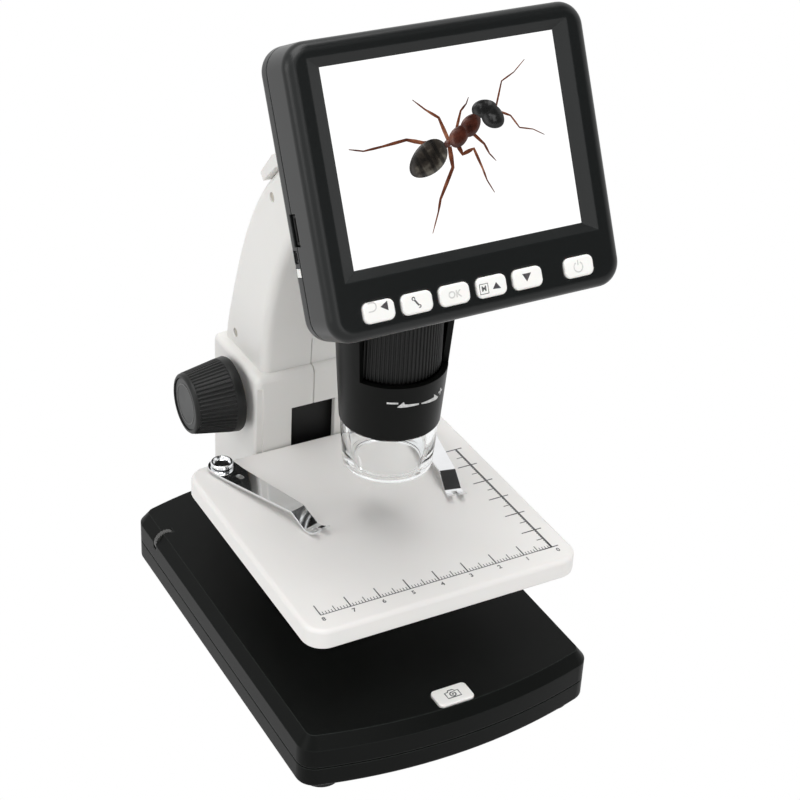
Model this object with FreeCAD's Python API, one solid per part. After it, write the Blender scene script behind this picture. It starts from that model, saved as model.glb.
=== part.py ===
import FreeCAD, Part
import math
import os
from FreeCAD import Placement, Rotation, Vector

# A desktop digital microscope with its own screen, in millimetres.
# +X is the user's right, -Y faces the user and +Z is up. The origin lies on the
# table under the middle of the base.

os.makedirs("parts", exist_ok=True)

# Base: a shallow black box with a bowed front and back
BASE_WIDTH = 101.4
BASE_LENGTH = 147.0
BASE_FRONT_BOW = 7.3
BASE_BACK_BOW = 8.6
BASE_CORNER = 6.0
BASE_BOTTOM = 3.0
BASE_SEAM = 10.1
BASE_SIDE_TOP = 17.2
BASE_TOP = 21.1
BASE_CHAMFER = 2.9
BASE_WALL = 2.2
FOOT_RADIUS = 7.0
FOOT_X = 41.2
FOOT_Y = 59.6
GROOVE = 0.5

# Snapshot button on the base
SNAP_WIDTH = 12.2
SNAP_DEPTH = 7.5
SNAP_Y = -66.4
SNAP_CORNER = 1.5
BUTTON_GAP = 0.25

# Brightness wheel: a small upright disc that shows through the sloping left edge
WHEEL_RADIUS = 4.2
WHEEL_THICK = 1.6
WHEEL_X = -46.45
WHEEL_Y = 49.0
WHEEL_Z = 17.18
WHEEL_NOTCHES = 24
WHEEL_PIN_RADIUS = 0.8
WHEEL_PIN_HALF = 2.4

# Column: a block on the base with an arm that curves forward over the stage
COLUMN_HALF = 21.0
COLUMN_FRONT = 32.3
COLUMN_BACK = 67.2
COLUMN_TOP = 84.3
COLUMN_EDGE = 2.5
COLUMN_WALL = 2.2
ARM_HALF = 17.5
ARM_EDGE = 3.2
ARM_WALL = 2.2
SIDE_SCREWS = ((56.2, 88.8), (29.7, 150.5))
SIDE_SCREW_HEAD = 1.5
SLOT_HALF = 8.0
SLOT_BOTTOM = 35.0
SLOT_TOP = 70.5
COLLAR_RADIUS = 21.8
COLLAR_BOTTOM = 151.0
COLLAR_TOP = 165.5

# The arm's front line, up from the block to the head, and its back line, down again (y, z)
ARM_FRONT_LINE = ((34.9, 78.0), (34.7, 90.0), (33.0, 103.0), (29.6, 115.0), (24.9, 127.0), (18.5, 138.0),
                  (11.5, 146.0), (3.0, 151.0))
ARM_BACK_LINE = ((34.7, 153.9), (46.4, 137.6), (53.9, 122.0), (60.9, 102.4), (64.6, 90.0), (66.0, 78.0))

# Focus drive: shaft, pinion and rack. The knobs taper outwards.
SHAFT_Y = 45.4
SHAFT_Z = 72.9
SHAFT_RADIUS = 2.0
RUNNING_GAP = 0.05
BUSH_RADIUS = 4.5
TOOTH_MODULE = 0.8
PINION_TEETH = 12
PINION_HALF = 4.0
KNOB_INNER_X = 23.6
KNOB_OUTER_X = 40.5
KNOB_INNER_RADIUS = 12.7
KNOB_OUTER_RADIUS = 10.2
KNOB_RIM = 3.4
KNOB_RIBS = 36
KNOB_DISC_RADIUS = 8.6

# Stage and what carries it
STAGE_HALF = 46.66
STAGE_FRONT = -61.8
STAGE_BACK = 31.7
STAGE_TOP = 57.0
STAGE_THICK = 7.0
STAGE_CORNER = 7.0
ROD_X = 13.0
ROD_Y = 41.2
ROD_RADIUS = 1.6
CARRIAGE_FRONT = 38.0
CARRIAGE_BACK = 44.4
CLIP_STUD_X = 35.5
CLIP_STUD_Y = 26.8
CLIP_LENGTH = 36.5
CLIP_SHEET = 0.8
CLIP_LEFT_ANGLE = 16.2
CLIP_RIGHT_ANGLE = 11.6

# Camera tube, which widens upwards
TUBE_Y = -18.54
TUBE_BOTTOM = 95.7
TUBE_TOP = 163.0
TUBE_RADIUS = 15.5
TUBE_GROWTH = 0.07
TUBE_WALL = 1.8
WINDOW_BOTTOM = 115.0
WINDOW_TOP = 143.0
WINDOW_SPREAD = 63.0
RING_RIBS = 54
RING_GROOVE = 0.5
CAP_BOTTOM = 79.6
CAP_BOTTOM_RADIUS = 14.1
CAP_TOP_RADIUS = 15.1
CAP_MOUTH_RADIUS = 11.0

# Screen unit: its own frame has u to the right, v up the glass and d out of it
SCREEN_TILT = 25.96
SCREEN_Y = -47.79
SCREEN_Z = 196.81
UNIT_HALF = 45.4
UNIT_TOP = 33.9
UNIT_BOTTOM = -45.2
UNIT_SEAM = -12.5
UNIT_BACK = -18.5
UNIT_CORNER = 7.0
UNIT_EDGE = 3.0
BEZEL_WALL = 2.0
GLASS_HALF_U = 35.4
GLASS_HALF_V = 26.6
BEVEL_HALF_U = 39.4
BEVEL_HALF_V = 29.2
GLASS_DEPTH = 1.8
KEY_NAMES = ("back", "setup", "ok", "mode", "down", "power")
KEY_U = (-31.3, -19.9, -8.5, 3.0, 14.4, 31.0)
KEY_V = -38.1
KEY_WIDTH = 9.3
KEY_HEIGHT = 5.7
KEY_PROUD = 0.9
HINGE_V = -15.0
HINGE_BEHIND = 8.0
HINGE_RADIUS = 5.5
HINGE_PIN_RADIUS = 2.0
BARREL_HALF = 12.7
EAR_INNER = 13.0
EAR_OUTER = 17.0

X_AXIS = Vector(1, 0, 0)
Y_AXIS = Vector(0, 1, 0)
Z_AXIS = Vector(0, 0, 1)
PITCH_RADIUS = TOOTH_MODULE * PINION_TEETH / 2
PITCH = math.pi * TOOTH_MODULE
STAGE_BOTTOM = STAGE_TOP - STAGE_THICK
UNIT_PLACE = Placement(Vector(0, SCREEN_Y, SCREEN_Z), Rotation(X_AXIS, 90 - SCREEN_TILT))
HINGE_D = UNIT_BACK - HINGE_BEHIND
HINGE_POINT = UNIT_PLACE.multVec(Vector(0, HINGE_V, HINGE_D))
CUT = 1.0


def save(name, *solids):
    """Write one node; several solids become a group."""
    shape = solids[0] if len(solids) == 1 else Part.makeCompound(list(solids))
    shape.exportStep("parts/%s.step" % name)
    volume = sum(solid.Volume for solid in shape.Solids)
    print("%-22s solids %d  volume %9.1f  valid %s" % (name, len(shape.Solids), volume, shape.isValid()))


def box(x0, x1, y0, y1, z0, z1):
    """A box between two corners."""
    return Part.makeBox(x1 - x0, y1 - y0, z1 - z0, Vector(x0, y0, z0))


def rod(radius, start, end):
    """A round bar from one point to another."""
    return Part.makeCylinder(radius, (end - start).Length, start, end - start)


def edges_along(shape, axis):
    """The straight edges that run along an axis."""
    found = []
    for edge in shape.Edges:
        if isinstance(edge.Curve, Part.Line) and abs(abs(edge.Curve.Direction.dot(axis)) - 1) < 1e-6:
            found.append(edge)
    return found


def edges_at_height(shape, height):
    """The edges that lie whole in one level plane."""
    def level(edge):
        return abs(edge.BoundBox.ZMin - height) < 1e-4 and abs(edge.BoundBox.ZMax - height) < 1e-4
    return [edge for edge in shape.Edges if level(edge)]


def rounded_box(x0, x1, y0, y1, z0, z1, corner, top_edge=0.0):
    """A box with round vertical corners and, if asked, a round top edge."""
    solid = box(x0, x1, y0, y1, z0, z1)
    solid = solid.makeFillet(corner, edges_along(solid, Z_AXIS))
    if top_edge:
        solid = solid.makeFillet(top_edge, edges_at_height(solid, z1))
    return solid


def in_unit(solid):
    """Move a solid from the screen unit's own frame to its place."""
    moved = solid.copy()
    moved.Placement = UNIT_PLACE.multiply(moved.Placement)
    return moved


def base_outline(height):
    """The base's rounded outline as a face at a height."""
    half = BASE_WIDTH / 2
    front = BASE_LENGTH / 2
    left_front = Vector(-half, -front + BASE_FRONT_BOW, height)
    right_front = Vector(half, -front + BASE_FRONT_BOW, height)
    left_back = Vector(-half, front - BASE_BACK_BOW, height)
    right_back = Vector(half, front - BASE_BACK_BOW, height)
    edges = [
        Part.Arc(left_front, Vector(0, -front, height), right_front).toShape(),
        Part.LineSegment(right_front, right_back).toShape(),
        Part.Arc(right_back, Vector(0, front, height), left_back).toShape(),
        Part.LineSegment(left_back, left_front).toShape(),
    ]
    slab = Part.Face(Part.Wire(edges)).extrude(Vector(0, 0, 1))
    slab = slab.makeFillet(BASE_CORNER, edges_along(slab, Z_AXIS))
    for face in slab.Faces:
        if abs(face.BoundBox.ZMax - height) < 1e-4:
            return face
    raise ValueError("no outline at that height")


def base_layer(z0, z1, inset=0.0):
    """A level slice of the base, drawn in by a distance."""
    face = base_outline(z0)
    if inset:
        face = Part.Face(face.OuterWire.makeOffset2D(-inset))
    return face.extrude(Vector(0, 0, z1 - z0))


def base_block():
    """The upper shell's outer form: straight sides, then a sloping edge."""
    sides = base_layer(BASE_SEAM, BASE_SIDE_TOP)
    low = base_outline(BASE_SIDE_TOP).OuterWire
    high = low.makeOffset2D(-BASE_CHAMFER)
    high.translate(Vector(0, 0, BASE_TOP - BASE_SIDE_TOP))
    slope = Part.makeLoft([low, high], True, True)
    return sides.fuse(slope).removeSplitter()


def make_base():
    """Shells, feet, battery, board and screws of the base."""
    half_x = BASE_WIDTH / 2
    upper = base_block()
    hollow = base_layer(BASE_SEAM - CUT, BASE_SIDE_TOP + 1.2, BASE_CHAMFER + BASE_WALL)
    upper = upper.cut(hollow)
    lip = base_layer(BASE_SEAM, BASE_SEAM + GROOVE).cut(base_layer(BASE_SEAM, BASE_SEAM + GROOVE, GROOVE))
    upper = upper.cut(lip)
    button = snap_button_form(BUTTON_GAP)
    upper = upper.cut(button)
    upper = upper.cut(on_wheel_axis(WHEEL_RADIUS + 0.35, WHEEL_THICK / 2 + 0.3))
    upper = upper.cut(on_wheel_axis(WHEEL_PIN_RADIUS, WHEEL_PIN_HALF))
    for x in (-FOOT_X, FOOT_X):
        for y in (-FOOT_Y, FOOT_Y):
            boss = Part.makeCylinder(3.6, BASE_SIDE_TOP + 1.3 - 11.0, Vector(x, y, 11.0))
            hole = Part.makeCylinder(1.3, 6.0, Vector(x, y, 10.9))
            upper = upper.fuse(boss).cut(hole)
    for x in (-14.0, 14.0):
        for y in (COLUMN_FRONT + 6.0, COLUMN_BACK - 6.0):
            upper = upper.cut(Part.makeCylinder(1.6, 8.0, Vector(x, y, 15.0)))
    save("base_top_shell", upper.removeSplitter())

    lower = base_layer(BASE_BOTTOM, BASE_SEAM - 0.02)
    lower = lower.makeFillet(1.2, edges_at_height(lower, BASE_BOTTOM))
    lower = lower.cut(base_layer(BASE_BOTTOM + 2.0, BASE_SEAM + CUT, BASE_CHAMFER + BASE_WALL))
    bay = box(-24, 24, -30, 26, BASE_BOTTOM - CUT, BASE_BOTTOM + 1.4)
    throat = box(-22, 22, -28, 24, BASE_BOTTOM, BASE_SEAM)
    lower = lower.cut(bay).cut(throat)
    for x in (-FOOT_X, FOOT_X):
        for y in (-FOOT_Y, FOOT_Y):
            boss = Part.makeCylinder(3.6, 10.98 - BASE_BOTTOM - 2.0, Vector(x, y, BASE_BOTTOM + 2.0))
            hole = Part.makeCylinder(1.7, 20.0, Vector(x, y, BASE_BOTTOM - CUT))
            seat = Part.makeCylinder(3.0, 4.0, Vector(x, y, BASE_BOTTOM - CUT))
            lower = lower.fuse(boss).cut(hole).cut(seat)
    save("base_bottom_shell", lower.removeSplitter())

    feet = []
    screws = []
    for x in (-FOOT_X, FOOT_X):
        for y in (-FOOT_Y, FOOT_Y):
            foot = Part.makeCone(FOOT_RADIUS - 0.8, FOOT_RADIUS, BASE_BOTTOM, Vector(x, y, 0))
            feet.append(foot)
            head = Part.makeCylinder(2.8, 2.0, Vector(x, y, BASE_BOTTOM + 1.0))
            stem = Part.makeCylinder(1.28, 12.0, Vector(x, y, BASE_BOTTOM + 1.0))
            screws.append(head.fuse(stem))
    save("rubber_feet", *feet)
    save("base_screws", *screws)

    door = box(-23.8, 23.8, -29.8, 25.8, BASE_BOTTOM, BASE_BOTTOM + 1.3)
    grip = [box(-8, 8, y, y + 0.8, BASE_BOTTOM - CUT, BASE_BOTTOM + 0.5) for y in (-26, -24, -22, -20)]
    for line in grip:
        door = door.cut(line)
    save("battery_door", door)
    cell = box(-18, 18, -26, 22, BASE_BOTTOM + 1.5, BASE_BOTTOM + 7.0)
    cell = cell.makeFillet(1.2, edges_along(cell, Y_AXIS))
    save("battery", cell)
    board = box(-42, -26, -54, 60, 9.6, 11.0)
    for x0, x1, y0, y1 in ((-42, 30, 28, 60), (-30, 8, -64, -54), (-8, 8, -67, -60)):
        board = board.fuse(box(x0, x1, y0, y1, 9.6, 11.0))
    for x in (-FOOT_X, FOOT_X):
        for y in (-FOOT_Y, FOOT_Y):
            board = board.cut(Part.makeCylinder(4.2, 6.0, Vector(x, y, 8.0)))
    save("base_board", board.removeSplitter())


def on_wheel_axis(radius, half):
    """A disc or pin about the brightness wheel's level axis."""
    return rod(radius, Vector(WHEEL_X, WHEEL_Y - half, WHEEL_Z), Vector(WHEEL_X, WHEEL_Y + half, WHEEL_Z))


def snap_button_form(grow):
    """The snapshot button's upright form, grown by a gap."""
    half = SNAP_WIDTH / 2 + grow
    deep = SNAP_DEPTH / 2 + grow
    return rounded_box(-half, half, SNAP_Y - deep, SNAP_Y + deep, 14.0 - grow, BASE_TOP + 2,
                       SNAP_CORNER + grow)


def make_base_controls():
    """Snapshot button with its switch, and the brightness wheel on its pin."""
    half = SNAP_WIDTH / 2
    deep = SNAP_DEPTH / 2
    cap = rounded_box(-half, half, SNAP_Y - deep, SNAP_Y + deep, 15.0, BASE_TOP + 0.9, SNAP_CORNER, 0.5)
    save("snapshot_button", cap)
    switch = box(-3, 3, SNAP_Y - 0.6, SNAP_Y + 4.6, 11.0, 14.1)
    save("snapshot_switch", switch)
    wheel = on_wheel_axis(WHEEL_RADIUS, WHEEL_THICK / 2)
    for step in range(WHEEL_NOTCHES):
        angle = 2 * math.pi * step / WHEEL_NOTCHES
        x = WHEEL_X + (WHEEL_RADIUS + 0.12) * math.cos(angle)
        z = WHEEL_Z + (WHEEL_RADIUS + 0.12) * math.sin(angle)
        wheel = wheel.cut(rod(0.3, Vector(x, WHEEL_Y - WHEEL_THICK, z), Vector(x, WHEEL_Y + WHEEL_THICK, z)))
    wheel = wheel.cut(on_wheel_axis(WHEEL_PIN_RADIUS + RUNNING_GAP, WHEEL_THICK))
    save("brightness_wheel", wheel)
    save("brightness_dial_pin", on_wheel_axis(WHEEL_PIN_RADIUS, WHEEL_PIN_HALF))


def side_point(y, z):
    """A point of the arm's side view."""
    return Vector(0, y, z)


def arm_curve(line, inset):
    """One long line of the arm's side view, moved inwards by a distance."""
    outer = Part.BSplineCurve()
    outer.interpolate([side_point(y, z) for y, z in line])
    if not inset:
        return outer
    moved = []
    for y, z in line:
        tangent = outer.tangent(outer.parameter(side_point(y, z)))[0]
        moved.append(side_point(y + inset * tangent.z, z - inset * tangent.y))
    inner = Part.BSplineCurve()
    inner.interpolate(moved)
    return inner


def swept_arm(half):
    """The arm's outer form between -half and +half."""
    front = arm_curve(ARM_FRONT_LINE, 0)
    back = arm_curve(ARM_BACK_LINE, 0)
    edges = [
        front.toShape(),
        Part.LineSegment(front.EndPoint, side_point(-24, COLLAR_BOTTOM)).toShape(),
        Part.LineSegment(side_point(-24, COLLAR_BOTTOM), side_point(-24, 173.5)).toShape(),
        Part.Arc(side_point(-24, 173.5), side_point(4, 171.5), side_point(26.5, 162)).toShape(),
        Part.LineSegment(side_point(26.5, 162), back.StartPoint).toShape(),
        back.toShape(),
        Part.LineSegment(back.EndPoint, front.StartPoint).toShape(),
    ]
    face = Part.Face(Part.Wire(edges))
    face.translate(Vector(-half, 0, 0))
    return face.extrude(Vector(2 * half, 0, 0))


def arm_hollow(half):
    """The room inside the arm, closed towards the head."""
    front = arm_curve(ARM_FRONT_LINE, ARM_WALL)
    back = arm_curve(ARM_BACK_LINE, ARM_WALL)
    roof_front = side_point(front.EndPoint.y, 169.0)
    roof_back = side_point(25.4, 159.8)
    edges = [
        front.toShape(),
        Part.LineSegment(front.EndPoint, roof_front).toShape(),
        Part.Arc(roof_front, side_point(16.0, 165.2), roof_back).toShape(),
        Part.LineSegment(roof_back, back.StartPoint).toShape(),
        back.toShape(),
        Part.LineSegment(back.EndPoint, front.StartPoint).toShape(),
    ]
    face = Part.Face(Part.Wire(edges))
    face.translate(Vector(-half, 0, 0))
    return face.extrude(Vector(2 * half, 0, 0))


def make_column():
    """The two white half shells that form the column and its arm."""
    block = box(-COLUMN_HALF, COLUMN_HALF, COLUMN_FRONT, COLUMN_BACK, BASE_TOP, COLUMN_TOP)
    block = block.makeFillet(COLUMN_EDGE, edges_along(block, Z_AXIS))
    block = block.makeFillet(2.3, edges_at_height(block, COLUMN_TOP))
    arm = swept_arm(ARM_HALF)
    long_edges = [e for e in arm.Edges if isinstance(e.Curve, Part.BSplineCurve)]
    arm = arm.makeFillet(ARM_EDGE, long_edges)
    collar = Part.makeCylinder(COLLAR_RADIUS, COLLAR_TOP - COLLAR_BOTTOM, Vector(0, TUBE_Y, COLLAR_BOTTOM))
    outer = block.fuse(arm).fuse(collar)
    wall = COLUMN_WALL
    hollow = box(-COLUMN_HALF + wall, COLUMN_HALF - wall, COLUMN_FRONT + wall, COLUMN_BACK - wall,
                 BASE_TOP - CUT, COLUMN_TOP - 2.4)
    inner_arm = arm_hollow(ARM_HALF - ARM_WALL)
    neck_way = box(-ARM_HALF + ARM_WALL, ARM_HALF - ARM_WALL, 36.7, 63.8, 75, 90)
    tube_bore = Part.makeCylinder(tube_radius(TUBE_TOP) + 0.1, TUBE_TOP + 0.3 - COLLAR_BOTTOM + CUT,
                                  Vector(0, TUBE_Y, COLLAR_BOTTOM - CUT))
    outer = outer.cut(hollow).cut(inner_arm).cut(neck_way).cut(tube_bore)
    outer = outer.cut(box(-6, 6, -2, 8, 153, 160))
    slot = box(-SLOT_HALF, SLOT_HALF, COLUMN_FRONT - CUT, COLUMN_FRONT + wall + CUT, SLOT_BOTTOM, SLOT_TOP)
    outer = outer.cut(slot)
    bush_way = rod(BUSH_RADIUS, Vector(-30, SHAFT_Y, SHAFT_Z), Vector(30, SHAFT_Y, SHAFT_Z))
    outer = outer.cut(bush_way.common(box(-30, -15, 0, 80, 50, 90)))
    outer = outer.cut(bush_way.common(box(15, 30, 0, 80, 50, 90)))
    seam = box(-0.2, 0.2, COLUMN_FRONT - CUT, COLUMN_FRONT + 0.3, BASE_TOP, COLUMN_TOP)
    neck_seam = box(-0.15, 0.15, COLUMN_FRONT - CUT, 35.1, COLUMN_TOP - 2.0, 94.0)
    outer = outer.cut(seam).cut(neck_seam)
    for side, name in ((-1, "column_left_shell"), (1, "column_right_shell")):
        corner_line = box(min(side * 20.2, side * 18.3), max(side * 20.2, side * 18.3),
                          COLUMN_FRONT - CUT, COLUMN_FRONT + 0.7, BASE_TOP, COLUMN_TOP - 4.0)
        keep = box(min(0, side * 60), max(0, side * 60), -80, 80, 0, 220)
        half = outer.common(keep).cut(corner_line)
        for y, z in SIDE_SCREWS:
            half = half.cut(rod(SIDE_SCREW_HEAD + 0.1, Vector(side * 16.4, y, z), Vector(side * 20, y, z)))
            half = half.cut(rod(0.95, Vector(side * 14, y, z), Vector(side * 20, y, z)))
        save(name, half)


def make_side_screws():
    """The screws that draw the half shells together, one pair each side."""
    screws = []
    for side in (-1, 1):
        for y, z in SIDE_SCREWS:
            head = rod(SIDE_SCREW_HEAD, Vector(side * 16.4, y, z), Vector(side * 17.1, y, z))
            stem = rod(0.9, Vector(side * 5.0, y, z), Vector(side * 16.4, y, z))
            screws.append(head.fuse(stem))
    return screws


def tube_radius(height):
    """The camera tube's outer radius at a height."""
    return TUBE_RADIUS + TUBE_GROWTH * (height - TUBE_BOTTOM)


def tube_cone(z0, z1, inset):
    """A slice of the tube's cone, drawn in by a distance."""
    return Part.makeCone(tube_radius(z0) - inset, tube_radius(z1) - inset, z1 - z0, Vector(0, TUBE_Y, z0))


def window_wedge(spread, z0, z1):
    """A pie slice around the tube's front."""
    reach = 40.0
    wedge = Part.makeCylinder(reach, z1 - z0, Vector(0, TUBE_Y, z0), Z_AXIS, 2 * spread)
    wedge.rotate(Vector(0, TUBE_Y, 0), Z_AXIS, 270 - spread)
    return wedge


def make_arm_cover():
    """The cover on the arm's back with the barrel of the screen's hinge."""
    def at(y, z):
        return Vector(0, y, z)
    edges = [
        Part.LineSegment(at(34.7, 153.9), at(26.5, 162)).toShape(),
        Part.Arc(at(26.5, 162), at(4, 171.5), at(-24, 173.5)).toShape(),
        Part.LineSegment(at(-24, 173.5), at(-24, 177.3)).toShape(),
        Part.Arc(at(-24, 177.3), at(5, 175.3), at(29.0, 165.0)).toShape(),
        Part.LineSegment(at(29.0, 165.0), at(36.9, 155.9)).toShape(),
        Part.LineSegment(at(36.9, 155.9), at(34.7, 153.9)).toShape(),
    ]
    face = Part.Face(Part.Wire(edges))
    face.translate(Vector(-ARM_HALF - 0.6, 0, 0))
    cover = face.extrude(Vector(2 * ARM_HALF + 1.2, 0, 0))
    y = HINGE_POINT.y
    z = HINGE_POINT.z
    barrel = rod(HINGE_RADIUS, Vector(-BARREL_HALF, y, z), Vector(BARREL_HALF, y, z))
    bridge = box(-BARREL_HALF, BARREL_HALF, y, -24, COLLAR_TOP + 0.1, z + HINGE_RADIUS)
    bore = rod(HINGE_PIN_RADIUS + RUNNING_GAP, Vector(-20, y, z), Vector(20, y, z))
    cover = cover.fuse(barrel).fuse(bridge).cut(bore)
    save("arm_cover", cover.removeSplitter())


def make_drive():
    """Shaft, bushes, pinion, knobs and the vertical guides."""
    def on_shaft(x):
        return Vector(x, SHAFT_Y, SHAFT_Z)
    save("focus_shaft", rod(SHAFT_RADIUS, on_shaft(-KNOB_OUTER_X + 4.0), on_shaft(KNOB_OUTER_X - 4.0)))
    bushes = []
    for side in (-1, 1):
        ring = rod(BUSH_RADIUS, on_shaft(side * 17.5), on_shaft(side * 21.4))
        hole = rod(SHAFT_RADIUS + RUNNING_GAP, on_shaft(side * 10), on_shaft(side * 30))
        bushes.append(ring.cut(hole))
    save("shaft_bushes", *bushes)
    save("pinion", make_pinion())
    for side, name in ((-1, "left"), (1, "right")):
        knob = make_knob()
        if side > 0:
            knob = knob.mirror(Vector(0, 0, 0), X_AXIS)
        save("focus_knob_%s" % name, knob)
        disc_start = on_shaft(side * (KNOB_OUTER_X - 1.0))
        disc_end = on_shaft(side * (KNOB_OUTER_X - 0.35))
        disc = rod(KNOB_DISC_RADIUS, disc_start, disc_end)
        save("knob_disc_%s" % name, disc)
    rods = []
    for x in (-ROD_X, ROD_X):
        rods.append(rod(ROD_RADIUS, Vector(x, ROD_Y, BASE_TOP), Vector(x, ROD_Y, 81.6)))
    save("guide_rods", *rods)
    bridge = box(-18.6, 18.6, 36.2, 46.0, 78.6, 81.6)
    bridge = bridge.cut(box(-10.6, 10.6, 36.0, 42.2, 78, 82))
    for x in (-ROD_X, ROD_X):
        bridge = bridge.cut(Part.makeCylinder(ROD_RADIUS, 10, Vector(x, ROD_Y, 76)))
    save("guide_bridge", bridge)


def make_knob():
    """The left knob: a ribbed taper with a plain rim and a recessed end."""
    profile = [
        (KNOB_INNER_X, 0), (KNOB_INNER_X, KNOB_INNER_RADIUS - 0.9),
        (KNOB_INNER_X + 0.9, KNOB_INNER_RADIUS), (KNOB_INNER_X + KNOB_RIM, KNOB_INNER_RADIUS - 0.3),
        (KNOB_OUTER_X - 1.2, KNOB_OUTER_RADIUS + 0.15), (KNOB_OUTER_X - 0.3, KNOB_OUTER_RADIUS - 0.4),
        (KNOB_OUTER_X, KNOB_OUTER_RADIUS - 0.9), (KNOB_OUTER_X, KNOB_DISC_RADIUS + 0.2),
        (KNOB_OUTER_X - 1.0, KNOB_DISC_RADIUS + 0.1), (KNOB_OUTER_X - 1.0, 0),
    ]
    points = [Vector(-x, SHAFT_Y, SHAFT_Z + r) for x, r in profile]
    wire = Part.makePolygon(points + [points[0]])
    knob = Part.Face(wire).revolve(Vector(0, SHAFT_Y, SHAFT_Z), X_AXIS, 360)
    groove_start = KNOB_INNER_X + KNOB_RIM
    for step in range(KNOB_RIBS):
        angle = 2 * math.pi * step / KNOB_RIBS
        low = KNOB_INNER_RADIUS + 0.12
        high = KNOB_OUTER_RADIUS + 0.42
        start = Vector(-groove_start, SHAFT_Y + low * math.cos(angle), SHAFT_Z + low * math.sin(angle))
        end = Vector(-KNOB_OUTER_X - 0.4, SHAFT_Y + high * math.cos(angle), SHAFT_Z + high * math.sin(angle))
        knob = knob.cut(rod(0.62, start, end))
    shaft_hole = rod(SHAFT_RADIUS, Vector(-KNOB_OUTER_X + 4.0, SHAFT_Y, SHAFT_Z), Vector(0, SHAFT_Y, SHAFT_Z))
    return knob.cut(shaft_hole)


def make_pinion():
    """A small spur gear on the shaft, a tooth pointing forward at the rack."""
    tip = PITCH_RADIUS + 0.85 * TOOTH_MODULE
    root = PITCH_RADIUS - 1.15 * TOOTH_MODULE
    body = rod(root, Vector(-PINION_HALF, SHAFT_Y, SHAFT_Z), Vector(PINION_HALF, SHAFT_Y, SHAFT_Z))
    for step in range(PINION_TEETH):
        half_root = 0.30 * PITCH
        half_tip = 0.10 * PITCH
        flat = [(root - 0.3, -half_root), (tip, -half_tip), (tip, half_tip), (root - 0.3, half_root)]
        points = [Vector(-PINION_HALF, SHAFT_Y - r, SHAFT_Z + w) for r, w in flat]
        tooth = Part.Face(Part.makePolygon(points + [points[0]])).extrude(Vector(2 * PINION_HALF, 0, 0))
        tooth.rotate(Vector(0, SHAFT_Y, SHAFT_Z), X_AXIS, step * 360 / PINION_TEETH)
        body = body.fuse(tooth)
    bore = rod(SHAFT_RADIUS, Vector(-10, SHAFT_Y, SHAFT_Z), Vector(10, SHAFT_Y, SHAFT_Z))
    return body.cut(bore).removeSplitter()


def make_rack():
    """The toothed bar on the carriage, with a gap opposite the pinion's tooth."""
    pitch_line = SHAFT_Y - PITCH_RADIUS
    tip = pitch_line + 0.85 * TOOTH_MODULE
    root = pitch_line - 1.15 * TOOTH_MODULE
    low = 56.0
    high = 85.5
    bar = box(-3, 3, CARRIAGE_FRONT, root, low, high)
    count = int((high - low) / PITCH) + 1
    for step in range(-count, count):
        centre = SHAFT_Z + (step + 0.5) * PITCH
        if centre - 0.4 * PITCH < low or centre + 0.4 * PITCH > high:
            continue
        half_root = 0.27 * PITCH
        half_tip = 0.08 * PITCH
        flat = [(root - 0.2, -half_root), (tip, -half_tip), (tip, half_tip), (root - 0.2, half_root)]
        points = [Vector(-3, y, centre + w) for y, w in flat]
        tooth = Part.Face(Part.makePolygon(points + [points[0]])).extrude(Vector(6, 0, 0))
        bar = bar.fuse(tooth)
    return bar.removeSplitter()


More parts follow.
